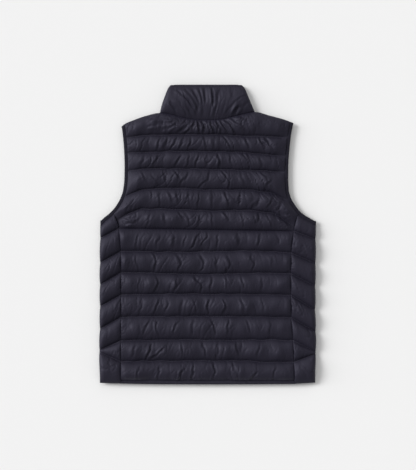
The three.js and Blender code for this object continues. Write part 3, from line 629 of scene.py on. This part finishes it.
def collarPatch():
    size = collarShape
    columns = {s.name: columnCurve(collarSides, 0, 1 if s.sign < 0 else 2) for s in sides.values()}
    rows = np.linspace(0, 1 - size["edgeRow"] / size["height"], size["cells"])
    rows = np.concatenate([rows, size["edgeRows"]])
    sewn = size["cells"] - 1
    forward, back = np.linspace(0, 1, size["frontCells"]), np.linspace(0, 1, size["backCells"])
    angles = np.linspace(0, math.pi, size["arc"])[1:-1]
    corners = {}
    for side in sides.values():
        y = float(shoulderBack(side.sign * size["corner"])) + size["ease"]
        corners[side.name] = (y, float(columns[side.name](y)) - size["foldDepth"])
    baseX = mix(-corners["left"][1], corners["right"][1], back)
    points, inners = [], []
    for r, v in enumerate(rows):
        share = min(1.0, v / rows[sewn])
        swell = max(0.0, 4 * share * (1 - share)) ** 0.6
        height = mix(size["stitched"], size["edge"], share) + size["loft"] * size["startLoft"] * swell
        if r > sewn:
            height = size["edgeHeights"][r - sewn - 1]
        top, bottom = backInside + height, max(0.3, cloth["frontInside"] - height - 1)
        parts, insides = {}, {}
        for side in sides.values():
            y0, bend0 = corners[side.name]
            cornerY = mix(y0, size["top"] - size["cornerDrop"], v)
            bend = float(columns[side.name](cornerY)) - size["foldDepth"]
            x = mix(cloth["zipOpening"], bend, forward)
            low = shoulderFront(side.sign * mix(cloth["zipOpening"], bend0, forward)) + size["frontEase"]
            high = size["top"] - size["frontDip"] - (size["top"] - size["topFront"]) * (1 - forward ** 2)
            y = mix(mix(low, high, v), cornerY, forward ** 6)
            z = mix(cloth["frontInside"] - size["stitched"], bottom, narrowing(x - cloth["zipOpening"]))
            front = np.column_stack([side.sign * x, y, z])
            reach = np.where(angles < math.pi / 2, top - middle, middle - bottom)
            arcX = bend + size["foldDepth"] * np.sin(angles)
            arcY = cornerY - size["cornerRound"] * np.sin(angles) ** 6 * v ** 10
            arc = np.column_stack([side.sign * arcX, arcY, middle + reach * np.cos(angles)])
            inX = bend + (size["foldDepth"] - 2) * np.sin(angles)
            inZ = middle + cloth["layerGap"] / 2 * np.cos(angles)
            inArc = np.column_stack([side.sign * inX, arcY, inZ])
            inFront = front.copy()
            inFront[:, 2] = cloth["frontInside"]
            parts[side.name], insides[side.name] = (front, arc, bend), (inFront, inArc)
        x = mix(-parts["left"][2], parts["right"][2], back)
        seamY = shoulderBack(baseX) + size["ease"]
        near = np.clip(np.minimum(back, 1 - back) * 20, 0, 1)
        y = mix(seamY, size["top"] - (1 - near ** 0.5) * size["cornerDrop"], v)
        middlePart = np.column_stack([x, y, np.full(x.shape, top)])
        inMiddle = middlePart.copy()
        inMiddle[:, 2] = backInside
        left, right = parts["left"], parts["right"]
        points.append(np.concatenate([left[0], left[1][::-1], middlePart, right[1], right[0][::-1]]))
        left, right = insides["left"], insides["right"]
        inners.append(np.concatenate([left[0], left[1][::-1], inMiddle, right[1], right[0][::-1]]))
    points, inners = np.array(points), np.array(inners)
    held = heldPoints(points.shape[:2], [])
    held[sewn:] = True
    x, y = points[..., 0], points[..., 1]
    onBack = points[..., 2] > middle + 2
    rise = np.clip(rows * (rows[sewn] - rows) * 6, 0, 1)[:, None] ** 0.5
    fanX, fanY = size["fan"]
    across = np.arctan2(x - fanX, y - fanY) * size["fanReach"]
    along = np.hypot(x - fanX, y - fanY)
    small = foldNoise(across, along * 0.5, 50, size["foldPitch"]) * size["folds"] * start["folds"]
    small += size["creases"] * creaseDepth("collar", x, y)
    points[..., 2] += np.where(onBack & ~held, small * rise, 0)
    high = np.full(held.shape, backInside + size["stitched"] + size["loft"] + size["headroom"])
    patch = Patch("collar", points, held, [sewn], inners, np.zeros(held.shape), high, 1, 1.0)
    near = np.minimum(rows, np.abs(rows[sewn] - rows))[:, None] * size["height"]
    patch.nearLine, patch.acrossFold, patch.alongFold = np.broadcast_to(near, held.shape), across, along
    return patch


patches = [
    panel,
    yoke,
    *(frontPatch(side) for side in sides.values()),
    *(sidePatch(side) for side in sides.values()),
    collarPatch(),
]
print("cloth laid out:", sum(patch.held.size for patch in patches), "points")


def swell(patches):  # let the cloth swell between its stitching, all pieces in one run
    scale = swelling["scale"]
    points, quads, sewn, extra, first = [], [], [], [], 0
    for patch in patches:
        faces = gridQuads(*patch.held.shape, first)
        quads.append(faces if patch.outward > 0 else faces[:, ::-1])
        points.append(patch.points.reshape(-1, 3))
        sewn.append(patch.held.reshape(-1))
        extra.append(patch.excess.reshape(-1))
        first += patch.held.size
    mesh = bpy.data.meshes.new("swelling")
    mesh.from_pydata((np.vstack(points) * scale).tolist(), [], np.vstack(quads).tolist())
    body = bpy.data.objects.new("swelling", mesh)
    bpy.context.scene.collection.objects.link(body)
    body.vertex_groups.new(name="held").add(np.flatnonzero(np.concatenate(sewn)).tolist(), 1.0, "REPLACE")
    slack = body.vertex_groups.new(name="slack")
    amounts = np.round(np.concatenate(extra), 1)
    for amount in np.unique(amounts):
        slack.add(np.flatnonzero(amounts == amount).tolist(), float(amount), "REPLACE")
    modifier = body.modifiers.new("swell", "CLOTH")
    settings = modifier.settings
    settings.quality = swelling["quality"]
    settings.mass = swelling["mass"]
    settings.tension_stiffness = swelling["tension"]
    settings.compression_stiffness = swelling["tension"]
    settings.shear_stiffness = swelling["shear"]
    settings.bending_stiffness = swelling["bending"]
    settings.use_pressure = True
    settings.uniform_pressure_force = swelling["pressure"]
    settings.vertex_group_mass = "held"
    settings.vertex_group_shrink = "slack"
    settings.shrink_min = 0.0
    settings.shrink_max = -swelling["excess"]
    settings.effector_weights.gravity = 0
    modifier.point_cache.frame_start = 1
    modifier.point_cache.frame_end = swelling["frames"]
    for step in range(1, swelling["frames"] + 1):
        bpy.context.scene.frame_set(step)
    moved = np.empty(first * 3)
    result = body.evaluated_get(bpy.context.evaluated_depsgraph_get())
    result.data.vertices.foreach_get("co", moved)
    moved = moved.reshape(-1, 3) / scale
    bpy.context.scene.frame_set(1)
    bpy.data.objects.remove(body)
    bpy.data.meshes.remove(mesh)
    at = 0
    for patch in patches:
        size = patch.held.size
        patch.points = moved[at:at + size].reshape(patch.points.shape)
        at += size


def gridQuads(rows, columns, first=0):
    index = first + np.arange(rows * columns).reshape(rows, columns)
    return np.dstack([index[:-1, :-1], index[:-1, 1:], index[1:, 1:], index[1:, :-1]]).reshape(-1, 4)


swell(patches)
print("cloth swollen")

# The swelling rounds the main creases, so they are pressed in once more, less where the cloth is low
pressedIn = {"collar": 0.4, "others": 0.32, "lowest": 3, "whole": 6}
for patch in patches:
    x, y, z = (patch.points[..., i] for i in range(3))
    onTop = (z > middle + 2) & ~patch.held
    deeper = creaseDepth(patch.name, x, y)
    deeper *= np.clip((z - backInside - pressedIn["lowest"]) / pressedIn["whole"], 0, 1)
    z += np.where(onTop, deeper * pressedIn["collar" if patch.name == "collar" else "others"], 0)
    patch.points[..., 2] = np.clip(z, patch.low, patch.high)


def finer(grid):  # twice as fine both ways, on a smooth curve through the points
    for _ in range(2):
        wide = np.concatenate([2 * grid[:1] - grid[1:2], grid, 2 * grid[-1:] - grid[-2:-1]])
        between = (9 * (wide[1:-2] + wide[2:-1]) - (wide[:-3] + wide[3:])) / 16
        woven = np.empty((len(grid) * 2 - 1, *grid.shape[1:]))
        woven[::2], woven[1::2] = grid, between
        grid = woven.swapaxes(0, 1)
    return grid


def rimIndex(rows, columns):
    index = np.arange(rows * columns).reshape(rows, columns)
    return np.concatenate([index[0, :-1], index[:-1, -1], index[-1, :0:-1], index[:0:-1, 0]])


def makeObject(name, points, faces, material, uv=None):
    mesh = bpy.data.meshes.new(name)
    mesh.from_pydata((np.asarray(points) / 1000).tolist(), [], [list(map(int, f)) for f in faces])
    mesh.polygons.foreach_set("use_smooth", [True] * len(mesh.polygons))
    if uv is not None:
        corners = np.empty(len(mesh.loops), int)
        mesh.loops.foreach_get("vertex_index", corners)
        mesh.uv_layers.new(name="cloth").data.foreach_set("uv", uv[corners].reshape(-1))
    mesh.materials.append(material)
    piece = bpy.data.objects.new(name, mesh)
    bpy.context.scene.collection.objects.link(piece)
    return piece


def clothLengths(grid):  # metres of cloth across and along, for the weave
    across = np.linalg.norm(np.diff(grid, axis=1), axis=2).cumsum(axis=1)
    along = np.linalg.norm(np.diff(grid, axis=0), axis=2).cumsum(axis=0)
    u = np.pad(across, ((0, 0), (1, 0))).mean(axis=0)
    v = np.pad(along, ((1, 0), (0, 0))).mean(axis=1)
    return np.dstack(np.meshgrid(u, v)).reshape(-1, 2) / 1000


puckers = {
    "depth": 0.75,
    "pitch": 7.5,
    "flatLine": 1.2,  # the cloth lies flat this near to the stitches
    "fade": 6,
    "away": (0.12, 0.88),  # the share that there is everywhere, and the share that fades
    "seamDepth": 1.7,
    "seamPitch": 8.0,
    "seamFade": 7,
    "seamFlatLine": 3,
}


def pucker(patch, outer):  # small sharp folds beside the stitching, too fine for the cloth's cells
    near = np.clip(finer(patch.nearLine), 0, farOff)
    across, along = finer(patch.acrossFold), finer(patch.alongFold)
    always, beside = puckers["away"]
    depth = foldNoise(across, along, 200, puckers["pitch"]) * (1 - np.exp(-near / puckers["flatLine"]))
    depth = depth * (always + beside * np.exp(-near / puckers["fade"]))
    depth = depth * finer(patch.calm)
    if patch.nearEdge is not None:
        edge = np.clip(finer(patch.nearEdge), 0, farOff)
        gathers = puckers["seamDepth"] * foldNoise(outer[..., 1], outer[..., 0], 300, puckers["seamPitch"])
        depth += gathers * np.exp(-edge / puckers["seamFade"]) * (1 - np.exp(-near / puckers["seamFlatLine"]))
    depth[0] = depth[-1] = 0
    depth[:, 0] = depth[:, -1] = 0
    outer[..., 2] += np.where(outer[..., 2] > middle + 2, puckers["depth"] * depth, 0)


def paddedPiece(patch, material):
    outer = finer(patch.points)
    if patch.nearLine is not None:
        pucker(patch, outer)
    if patch.name.startswith(("front", "side", "collar")):
        outer[..., 2] = np.maximum(outer[..., 2], 0)
    rows, columns = outer.shape[:2]
    count = rows * columns
    rim = rimIndex(rows, columns)
    faces = gridQuads(rows, columns)
    lengths = clothLengths(outer)
    if np.isscalar(patch.inner):  # a flat inner face, filled from its rim
        inner = outer.reshape(-1, 3)[rim].copy()
        inner[:, 2] = patch.inner
        innerUv = lengths[rim]
        inside = [list(range(count + len(rim) - 1, count - 1, -1))]
        inRim = count + np.arange(len(rim))
    else:
        inner = finer(patch.inner).reshape(-1, 3)
        innerUv = lengths
        inside = gridQuads(rows, columns, count)[:, ::-1].tolist()
        inRim = count + rim
    wall = [[rim[(i + 1) % len(rim)], rim[i], inRim[i], inRim[(i + 1) % len(rim)]] for i in range(len(rim))]
    faces = faces.tolist() + inside + wall
    if patch.outward < 0:
        faces = [face[::-1] for face in faces]
    points = np.vstack([outer.reshape(-1, 3), inner])
    return makeObject(patch.name + "_cloth", points, faces, material, uv=np.vstack([lengths, innerUv]))


def node(tree, kind, place=(0, 0), inputs=None, **values):
    made = tree.nodes.new(kind)
    made.location = place
    for name, value in values.items():
        setattr(made, name, value)
    for name, value in (inputs or {}).items():
        made.inputs[name].default_value = value
    return made


def join(tree, *links):  # each link is a node, its output, the next node and its input
    for source, output, target, socket in links:
        tree.links.new(source.outputs[output], target.inputs[socket])


def addSockets(tree, way, **kinds):
    for name, kind in kinds.items():
        tree.interface.new_socket(name=name, in_out=way, socket_type="NodeSocket" + kind)


def newMaterial(name, colour, roughness, inputs=None):
    material = bpy.data.materials.new(name)
    material.use_nodes = True
    shader = material.node_tree.nodes["Principled BSDF"]
    for socket, value in {"Base Color": (*colour, 1), "Roughness": roughness, **(inputs or {})}.items():
        shader.inputs[socket].default_value = value
    return material, material.node_tree, shader


turnLength = 6.2832  # a wave node's scale is the number of waves to a metre, divided by this
nylonLook = {
    "colour": (0.0082, 0.0072, 0.0128),
    "lighter": (0.0108, 0.0096, 0.0168),
    "patchPerMetre": 9,
    "roughness": 0.6,
    "gloss": 0.28,
    "tint": (0.8, 0.78, 1, 1),
    "sheen": (0.06, 0.4, (0.5, 0.46, 0.9, 1)),  # weight, roughness and tint
    "weavePerMetre": 1500,
    "weaveDepth": 0.06,
    "wrinkle": 0.5,
    "wrinkleStretch": (190, 75, 90),  # longer down the cloth than across it
}


def makeNylon():
    look = nylonLook
    sheen, sheenRoughness, sheenTint = look["sheen"]
    material, tree, shader = newMaterial("navyNylon", look["colour"], look["roughness"], {
        "Specular IOR Level": look["gloss"], "Specular Tint": look["tint"],
        "Sheen Weight": sheen, "Sheen Roughness": sheenRoughness, "Sheen Tint": sheenTint,
    })
    place = node(tree, "ShaderNodeTexCoord", (-1400, 0))
    patchy = node(tree, "ShaderNodeTexNoise", (-1100, 300), {"Scale": look["patchPerMetre"], "Detail": 4})
    colours = {"A": (*look["colour"], 1), "B": (*look["lighter"], 1)}
    tint = node(tree, "ShaderNodeMix", (-700, 300), colours, data_type="RGBA")
    # Small sharp wrinkles
    stretch = node(tree, "ShaderNodeMapping", (-1150, -100), {"Scale": look["wrinkleStretch"]})
    ridges = {"Scale": 1.0, "Detail": 2.5, "Roughness": 0.5}
    wrinkle = node(tree, "ShaderNodeTexNoise", (-950, -100), ridges, noise_type="RIDGED_MULTIFRACTAL")
    soft = node(tree, "ShaderNodeBump", (-400, -150), {"Strength": look["wrinkle"], "Distance": 0.0006})
    # The weave itself, from the lengths of cloth
    scale = {"Scale": look["weavePerMetre"] / turnLength}
    warp = node(tree, "ShaderNodeTexWave", (-950, -400), scale, bands_direction="X")
    weft = node(tree, "ShaderNodeTexWave", (-950, -650), scale, bands_direction="Y")
    both = node(tree, "ShaderNodeMath", (-700, -500), operation="MULTIPLY")
    weave = node(tree, "ShaderNodeBump", (-200, -300), {"Strength": look["weaveDepth"], "Distance": 0.0002})
    join(
        tree,
        (place, "Object", patchy, "Vector"),
        (patchy, "Fac", tint, "Factor"),
        (tint, "Result", shader, "Base Color"),
        (place, "Object", stretch, "Vector"),
        (stretch, "Vector", wrinkle, "Vector"),
        (wrinkle, "Fac", soft, "Height"),
        (place, "UV", warp, "Vector"),
        (place, "UV", weft, "Vector"),
        (warp, "Fac", both, 0),
        (weft, "Fac", both, 1),
        (both, "Value", weave, "Height"),
        (soft, "Normal", weave, "Normal"),
        (weave, "Normal", shader, "Normal"),
    )
    return material


def ribsGroup():  # the ribs of knitted or woven narrow goods
    group = bpy.data.node_groups.new("ribs", "ShaderNodeTree")
    addSockets(group, "INPUT", Vector="Vector", Scale="Float")
    addSockets(group, "OUTPUT", Normal="Vector")
    given = node(group, "NodeGroupInput", (-900, 0))
    result = node(group, "NodeGroupOutput", (0, 0))
    wave = node(group, "ShaderNodeTexWave", (-650, 0), {"Distortion": 0.6}, bands_direction="Y")
    bump = node(group, "ShaderNodeBump", (-300, 0), {"Strength": 0.24, "Distance": 0.0003})
    join(
        group,
        (given, "Vector", wave, "Vector"),
        (given, "Scale", wave, "Scale"),
        (wave, "Fac", bump, "Height"),
        (bump, "Normal", result, "Normal"),
    )
    return group


def makeRibbed(name, colour, perMetre, source, group):
    gloss = {"Specular IOR Level": 0.25, "Specular Tint": nylonLook["tint"]}
    material, tree, shader = newMaterial(name, colour, 0.75, gloss)
    place = node(tree, "ShaderNodeTexCoord", (-900, 0))
    ribs = node(tree, "ShaderNodeGroup", (-500, 0), node_tree=group)
    ribs.inputs["Scale"].default_value = perMetre / turnLength
    join(tree, (place, source, ribs, "Vector"), (ribs, "Normal", shader, "Normal"))
    return material


def makeMetal():
    material, tree, shader = newMaterial("darkLacquer", (0.02, 0.02, 0.024), 0.34, {"Metallic": 0.85})
    place = node(tree, "ShaderNodeTexCoord", (-900, 0))
    scratch = node(tree, "ShaderNodeTexNoise", (-650, 0), {"Scale": 420})
    bump = node(tree, "ShaderNodeBump", (-300, -200), {"Strength": 0.15, "Distance": 0.0002})
    join(
        tree,
        (place, "Object", scratch, "Vector"),
        (scratch, "Fac", bump, "Height"),
        (bump, "Normal", shader, "Normal"),
    )
    return material


nylon = makeNylon()
ribs = ribsGroup()
# The binding's colour is its own slightly darker tone, made darker still as painted shade for the shadow
# along its rolled outer rim.
elastic = makeRibbed("bindingToneAndRimShade", (0.006, 0.0054, 0.0094), 900, "UV", ribs)
tape = makeRibbed("zipTapeWeave", (0.0085, 0.0078, 0.0125), 1300, "Object", ribs)
coilPlastic = newMaterial("zipNylon", (0.01, 0.01, 0.013), 0.38)[0]
metal = makeMetal()
thread = newMaterial("navyThread", (0.022, 0.021, 0.032), 0.5)[0]

# What each padded piece was cut to, in metres, before it was quilted: width, length and flat area
cuts = {
    "back_panel": ((0.475, 0.415), 0.188),
    "back_yoke": ((0.49, 0.325), 0.128),
    "side_panel_left": ((0.128, 0.44), 0.053),
    "side_panel_right": ((0.137, 0.44), 0.058),
    "front_left": ((0.24, 0.72), 0.150),
    "front_right": ((0.235, 0.72), 0.147),
    "collar": ((0.48, 0.105), 0.0395),
}


def areaOf(piece):
    return sum(face.area for face in piece.data.polygons)


pieces = {}
for patch in patches:
    piece = paddedPiece(patch, nylon)
    pieces[patch.name] = piece
    print(patch.name, "faces", len(piece.data.polygons), "half its surface", round(areaOf(piece) / 2, 4))


# The armhole bindings: a rolled band that is a little gathered where it is sewn on
bandShape = {
    "around": (
        (0.0, 0.2), (-0.035, 0.5), (0.0, 0.82), (0.09, 1.0), (0.3, 1.06), (0.55, 1.05),
        (0.8, 0.98), (0.94, 0.86), (1.0, 0.6), (1.0, 0.0), (0.5, 0.0), (0.1, 0.0),
    ),
    "cuts": 190,
    "turnCuts": 12,
    "turnReach": 10,  # it turns gently into its folds over this length
    "turnOut": 0.75,
    "over": 2.2,
    "gather": 0.16,
    "gatherPitch": 6.5,
}


def bindingPiece(side):
    strand = side.sewnStrand(bandShape["cuts"])
    lengths = np.append(0, np.linalg.norm(np.diff(strand[:, :2], axis=0), axis=1).cumsum())
    lean = float(side.shoulderLean(strand[0, 0]))
    normal = np.array([-lean, 1]) / math.hypot(lean, 1)
    for end in (0, -1):
        near = np.clip(1 - np.abs(lengths - lengths[end]) / bandShape["turnReach"], 0, 1)[:, None] ** 2
        strand[:, 2:] = mix(strand[:, 2:], strand[end, 2:], near)

    def section(row, outward, angle, travelled):
        place = (travelled / bandShape["gatherPitch"], side.sign * 3.0, 0.5)
        puff = 1 + bandShape["gather"] * noise.noise(place)
        ring = []
        for share, height in bandShape["around"]:
            radius = cloth["layerGap"] / 2 + binding["thickness"] * height * (puff if height > 0.4 else 1)
            out = max(radius, bandShape["turnOut"] * binding["thickness"]) * math.sin(angle)
            reach = (binding["width"] + bandShape["over"]) * share
            ring.append((
                side.sign * (row[0] + row[2] * reach + outward[0] * out),
                row[1] + row[3] * reach + outward[1] * out,
                middle + radius * math.cos(angle),
            ))
        return ring

    turns = np.linspace(0, math.pi, bandShape["turnCuts"])[1:-1]
    whole = lengths[-1] + bandShape["turnReach"]
    sections = [section(row, (0, 0), 0, t) for row, t in zip(strand, lengths)]
    sections += [section(strand[-1], (1, 0), a, lengths[-1] + a * 3) for a in turns]
    backwards = zip(strand[::-1], lengths[::-1])
    sections += [section(row, (0, 0), math.pi, whole + lengths[-1] - t) for row, t in backwards]
    sections += [section(strand[0], normal, a, 2 * whole + a * 3) for a in turns[::-1]]
    rings = np.array(sections)
    count, around = rings.shape[:2]
    faces = []
    for k in range(count):
        for j in range(around):
            following, beside = (k + 1) % count, (j + 1) % around
            face = [k * around + j, k * around + beside, following * around + beside, following * around + j]
            faces.append(face if side.sign > 0 else face[::-1])
    travelled = np.linalg.norm(np.diff(rings[:, 4], axis=0), axis=1).cumsum()
    travelled = np.append(0, travelled)
    uv = np.dstack(np.meshgrid(np.arange(around) * 0.0015, travelled / 1000)).reshape(-1, 2)
    return makeObject(f"armhole_binding_{side.name}_band", rings.reshape(-1, 3), faces, elastic, uv=uv)


def outwardVolume(piece):
    mesh = piece.data
    mesh.calc_loop_triangles()
    corners = np.array([[mesh.vertices[v].co for v in t.vertices] for t in mesh.loop_triangles])
    return float(np.einsum("ij,ij->i", corners[:, 0], np.cross(corners[:, 1], corners[:, 2])).sum() / 6)


for side in sides.values():
    band = bindingPiece(side)
    if outwardVolume(band) < 0:
        band.data.flip_normals()
    pieces[f"armhole_binding_{side.name}"] = band
print("bindings sewn on")


def alongTree(name, **sizes):  # a node tree that sets one shape after another along a path
    tree = bpy.data.node_groups.new(name, "GeometryNodeTree")
    addSockets(tree, "INPUT", Geometry="Geometry", Pitch="Float", Material="Material", **sizes)
    addSockets(tree, "OUTPUT", Geometry="Geometry")
    given = node(tree, "NodeGroupInput", (-900, 0))
    result = node(tree, "NodeGroupOutput", (900, 0))
    curve = node(tree, "GeometryNodeMeshToCurve", (-700, 100))
    even = node(tree, "GeometryNodeResampleCurve", (-500, 100), mode="LENGTH")
    each = node(tree, "GeometryNodeInstanceOnPoints", (50, 100))
    real = node(tree, "GeometryNodeRealizeInstances", (300, 100))
    smooth = node(tree, "GeometryNodeSetShadeSmooth", (480, 100))
    dye = node(tree, "GeometryNodeSetMaterial", (660, 100))
    join(
        tree,
        (given, "Geometry", curve, "Mesh"),
        (curve, "Curve", even, "Curve"),
        (given, "Pitch", even, "Length"),
        (even, "Curve", each, "Points"),
        (each, "Instances", real, "Geometry"),
        (real, "Geometry", smooth, "Geometry"),
        (smooth, "Geometry", dye, "Geometry"),
        (given, "Material", dye, "Material"),
        (dye, "Geometry", result, "Geometry"),
    )
    return tree, given, each


def alongPaths(name, points, edges, tree, values):  # the tree's result on these paths, as a plain mesh
    mesh = bpy.data.meshes.new(name)
    mesh.from_pydata(points, edges, [])
    piece = bpy.data.objects.new(name, mesh)
    bpy.context.scene.collection.objects.link(piece)
    modifier = piece.modifiers.new("along", "NODES")
    modifier.node_group = tree
    for item in tree.interface.items_tree:
        if item.in_out == "INPUT" and item.name in values:
            modifier[item.identifier] = values[item.name]
    evaluated = piece.evaluated_get(bpy.context.evaluated_depsgraph_get())
    plain = bpy.data.meshes.new_from_object(evaluated)
    piece.modifiers.clear()
    piece.data = plain
    return piece


# Stitches along the sewn lines: their sizes in metres, and how far they stand out of the cloth
stitches = {"pitch": 0.0031, "length": 0.0023, "thickness": 0.00036, "lift": 0.12}


def stitchTree():
    tree, given, each = alongTree("stitchesAlong", Length="Float", Thickness="Float")
    tangent = node(tree, "GeometryNodeInputTangent", (-500, -150))
    turn = node(tree, "FunctionNodeAlignRotationToVector", (-250, -150), axis="Z")
    loop = node(tree, "GeometryNodeMeshIcoSphere", (-250, -350), {"Radius": 0.5, "Subdivisions": 1})
    shape = node(tree, "ShaderNodeCombineXYZ", (-250, -550))
    join(
        tree,
        (tangent, "Tangent", turn, "Vector"),
        (turn, "Rotation", each, "Rotation"),
        (loop, "Mesh", each, "Instance"),
        (given, "Thickness", shape, "X"),
        (given, "Thickness", shape, "Y"),
        (given, "Length", shape, "Z"),
        (shape, "Vector", each, "Scale"),
    )
    return tree


def stitchPiece(patch, tree):
    points, edges = [], []
    for r in patch.sewn:
        path = patch.points[r].copy()
        path[:, 2] += np.where(path[:, 2] > middle, stitches["lift"], -stitches["lift"])
        first = len(points)
        points += [tuple(p / 1000) for p in path]
        edges += [(first + i, first + i + 1) for i in range(len(path) - 1)]
    values = {"Pitch": stitches["pitch"], "Length": stitches["length"], "Thickness": stitches["thickness"]}
    return alongPaths(patch.name + "_stitching", points, edges, tree, {**values, "Material": thread})


tree = stitchTree()
stitched = {patch.name: stitchPiece(patch, tree) for patch in patches}
print("stitched:", sum(len(piece.data.polygons) for piece in stitched.values()), "faces")

# The zip's moulded teeth, in metres, with the cord of each tape's edge below them
zipTeeth = {"pitch": 0.0027, "size": (0.0031, 0.00135, 0.0023), "apart": 0.00095, "ends": (0.001, 0.003)}


def teethTree():
    tree, given, each = alongTree("teethAlong", Size="Vector")
    block = node(tree, "GeometryNodeMeshCube", (-500, -200))
    rounded = node(tree, "GeometryNodeSubdivisionSurface", (-250, -200), {"Level": 2, "Edge Crease": 0.7})
    join(
        tree,
        (given, "Size", block, "Size"),
        (block, "Mesh", rounded, "Mesh"),
        (rounded, "Mesh", each, "Instance"),
    )
    return tree


def zipChainPiece():
    low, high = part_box("zip_chain")
    middleX, height = (low[0] + high[0]) / 2, (low[2] + high[2]) / 2
    below, above = zipTeeth["ends"]
    points = []
    for k, way in enumerate((-1, 1)):
        x = middleX + way * zipTeeth["apart"]
        shift = k * zipTeeth["pitch"] / 2
        points += [(x, low[1] + below + shift, height), (x, high[1] - above + shift, height)]
    values = {"Pitch": zipTeeth["pitch"], "Size": zipTeeth["size"], "Material": coilPlastic}
    return alongPaths("zip_chain_teeth", points, [(0, 1), (2, 3)], teethTree(), values)


# Where each cord lies, as a share of the chain's width, and its half width and half thickness
cordShape = {"at": 0.28, "across": 1.35, "thick": 0.6, "sides": 12}


def zipCords():  # a rounded bar along the edge of each tape
    low, high = (np.array(corner) * 1000 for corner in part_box("zip_chain"))
    middleX, height = (low[0] + high[0]) / 2, (low[2] + high[2]) / 2
    count = cordShape["sides"]
    points, faces = [], []
    for way in (-1, 1):
        first = len(points)
        x = middleX + way * (high[0] - low[0]) * cordShape["at"]
        for y in (low[1], high[1]):
            for a in np.linspace(0, 2 * math.pi, count, endpoint=False):
                out, up = cordShape["across"] * math.cos(a), cordShape["thick"] * math.sin(a)
                points.append((x + out, y, height + up))
        for i in range(count):
            beside = (i + 1) % count
            faces.append([first + i, first + count + i, first + count + beside, first + beside])
        faces.append([first + i for i in range(count)])
        faces.append([first + 2 * count - 1 - i for i in range(count)])
    return makeObject("zip_chain_cords", points, faces, tape)


pieces["zip_chain"] = zipChainPiece()
cords = zipCords()
if outwardVolume(cords) < 0:
    cords.data.flip_normals()
print("zip teeth:", len(pieces["zip_chain"].data.polygons), "faces")

for name, piece in pieces.items():
    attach(piece, "vest")
    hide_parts(name)
for name, piece in stitched.items():
    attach(piece, "vest")
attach(cords, "vest")
for name, (flat, area) in cuts.items():
    sewnOn = [stitched[name]]
    if name == "back_yoke":
        sewnOn += [pieces["armhole_binding_left"], pieces["armhole_binding_right"]]

finishes = {
    "zip_tape_left": tape,
    "zip_tape_right": tape,
    "zip_box": coilPlastic,
    "zip_slider": metal,
    "zip_pull": metal,
}
for name, material in finishes.items():
    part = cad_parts[name]
    part.data.materials.clear()
    part.data.materials.append(material)

# The floor, the light and the camera, in metres
scene = bpy.context.scene
half, height = 5, -0.0006
corners = [(-half, -half, height), (half, -half, height), (half, half, height), (-half, half, height)]
floorMesh = bpy.data.meshes.new("floor")
floorMesh.from_pydata(corners, [], [(0, 1, 2, 3)])
floor = bpy.data.objects.new("floor", floorMesh)
scene.collection.objects.link(floor)
paper, paperTree, paperShader = newMaterial("paleFloor", (0.725, 0.725, 0.725), 0.95)
clear = node(paperTree, "ShaderNodeBsdfTransparent", (0, -200))
face = node(paperTree, "ShaderNodeNewGeometry", (-300, 200))
choose = node(paperTree, "ShaderNodeMixShader", (300, 0))
join(
    paperTree,
    (face, "Backfacing", choose, "Fac"),
    (paperShader, "BSDF", choose, 1),
    (clear, "BSDF", choose, 2),
    (choose, "Shader", paperTree.nodes["Material Output"], "Surface"),
)
floorMesh.materials.append(paper)

# The vest's middle is at centreX and centreY, counted in pixels from the picture's upper left corner.
shot = {
    "distance": 3.2,
    "vestHeight": 0.015,
    "film": 24,
    "perPixel": 0.0025,
    "wide": 416,
    "tall": 470,
    "centreX": 207.55,
    "centreY": 234.5,
}
lens = bpy.data.cameras.new("camera")
camera = bpy.data.objects.new("camera", lens)
scene.collection.objects.link(camera)
lens.sensor_fit = "VERTICAL"
lens.sensor_height = shot["film"]
lens.lens = shot["film"] * shot["distance"] / (shot["tall"] * shot["perPixel"])
camera.location = (
    (shot["wide"] / 2 - shot["centreX"]) * shot["perPixel"],
    -(shot["tall"] / 2 - shot["centreY"]) * shot["perPixel"],
    shot["distance"] + shot["vestHeight"],
)
scene.camera = camera
scene.view_settings.view_transform = "Standard"

lights = {
    "key": {"from": (-0.78, 0.34, 0.66), "spread": 24, "power": 2.35},
    "low": {"from": (-0.92, 0.16, 0.32), "spread": 30, "power": 1.2},
    "top": {"from": (0.0, 0.68, 0.74), "spread": 50, "power": 0.6},
}
for name, light in lights.items():
    lamp = bpy.data.lights.new(name, "SUN")
    lamp.angle, lamp.energy = math.radians(light["spread"]), light["power"]
    holder = bpy.data.objects.new(name, lamp)
    holder.location = light["from"]
    holder.rotation_euler = (-Vector(light["from"])).to_track_quat("-Z", "Y").to_euler()
    scene.collection.objects.link(holder)
room = bpy.data.worlds.new("room")
room.use_nodes = True
room.node_tree.nodes["Background"].inputs["Color"].default_value = (1, 1, 1, 1)
room.node_tree.nodes["Background"].inputs["Strength"].default_value = 0.5
scene.world = room
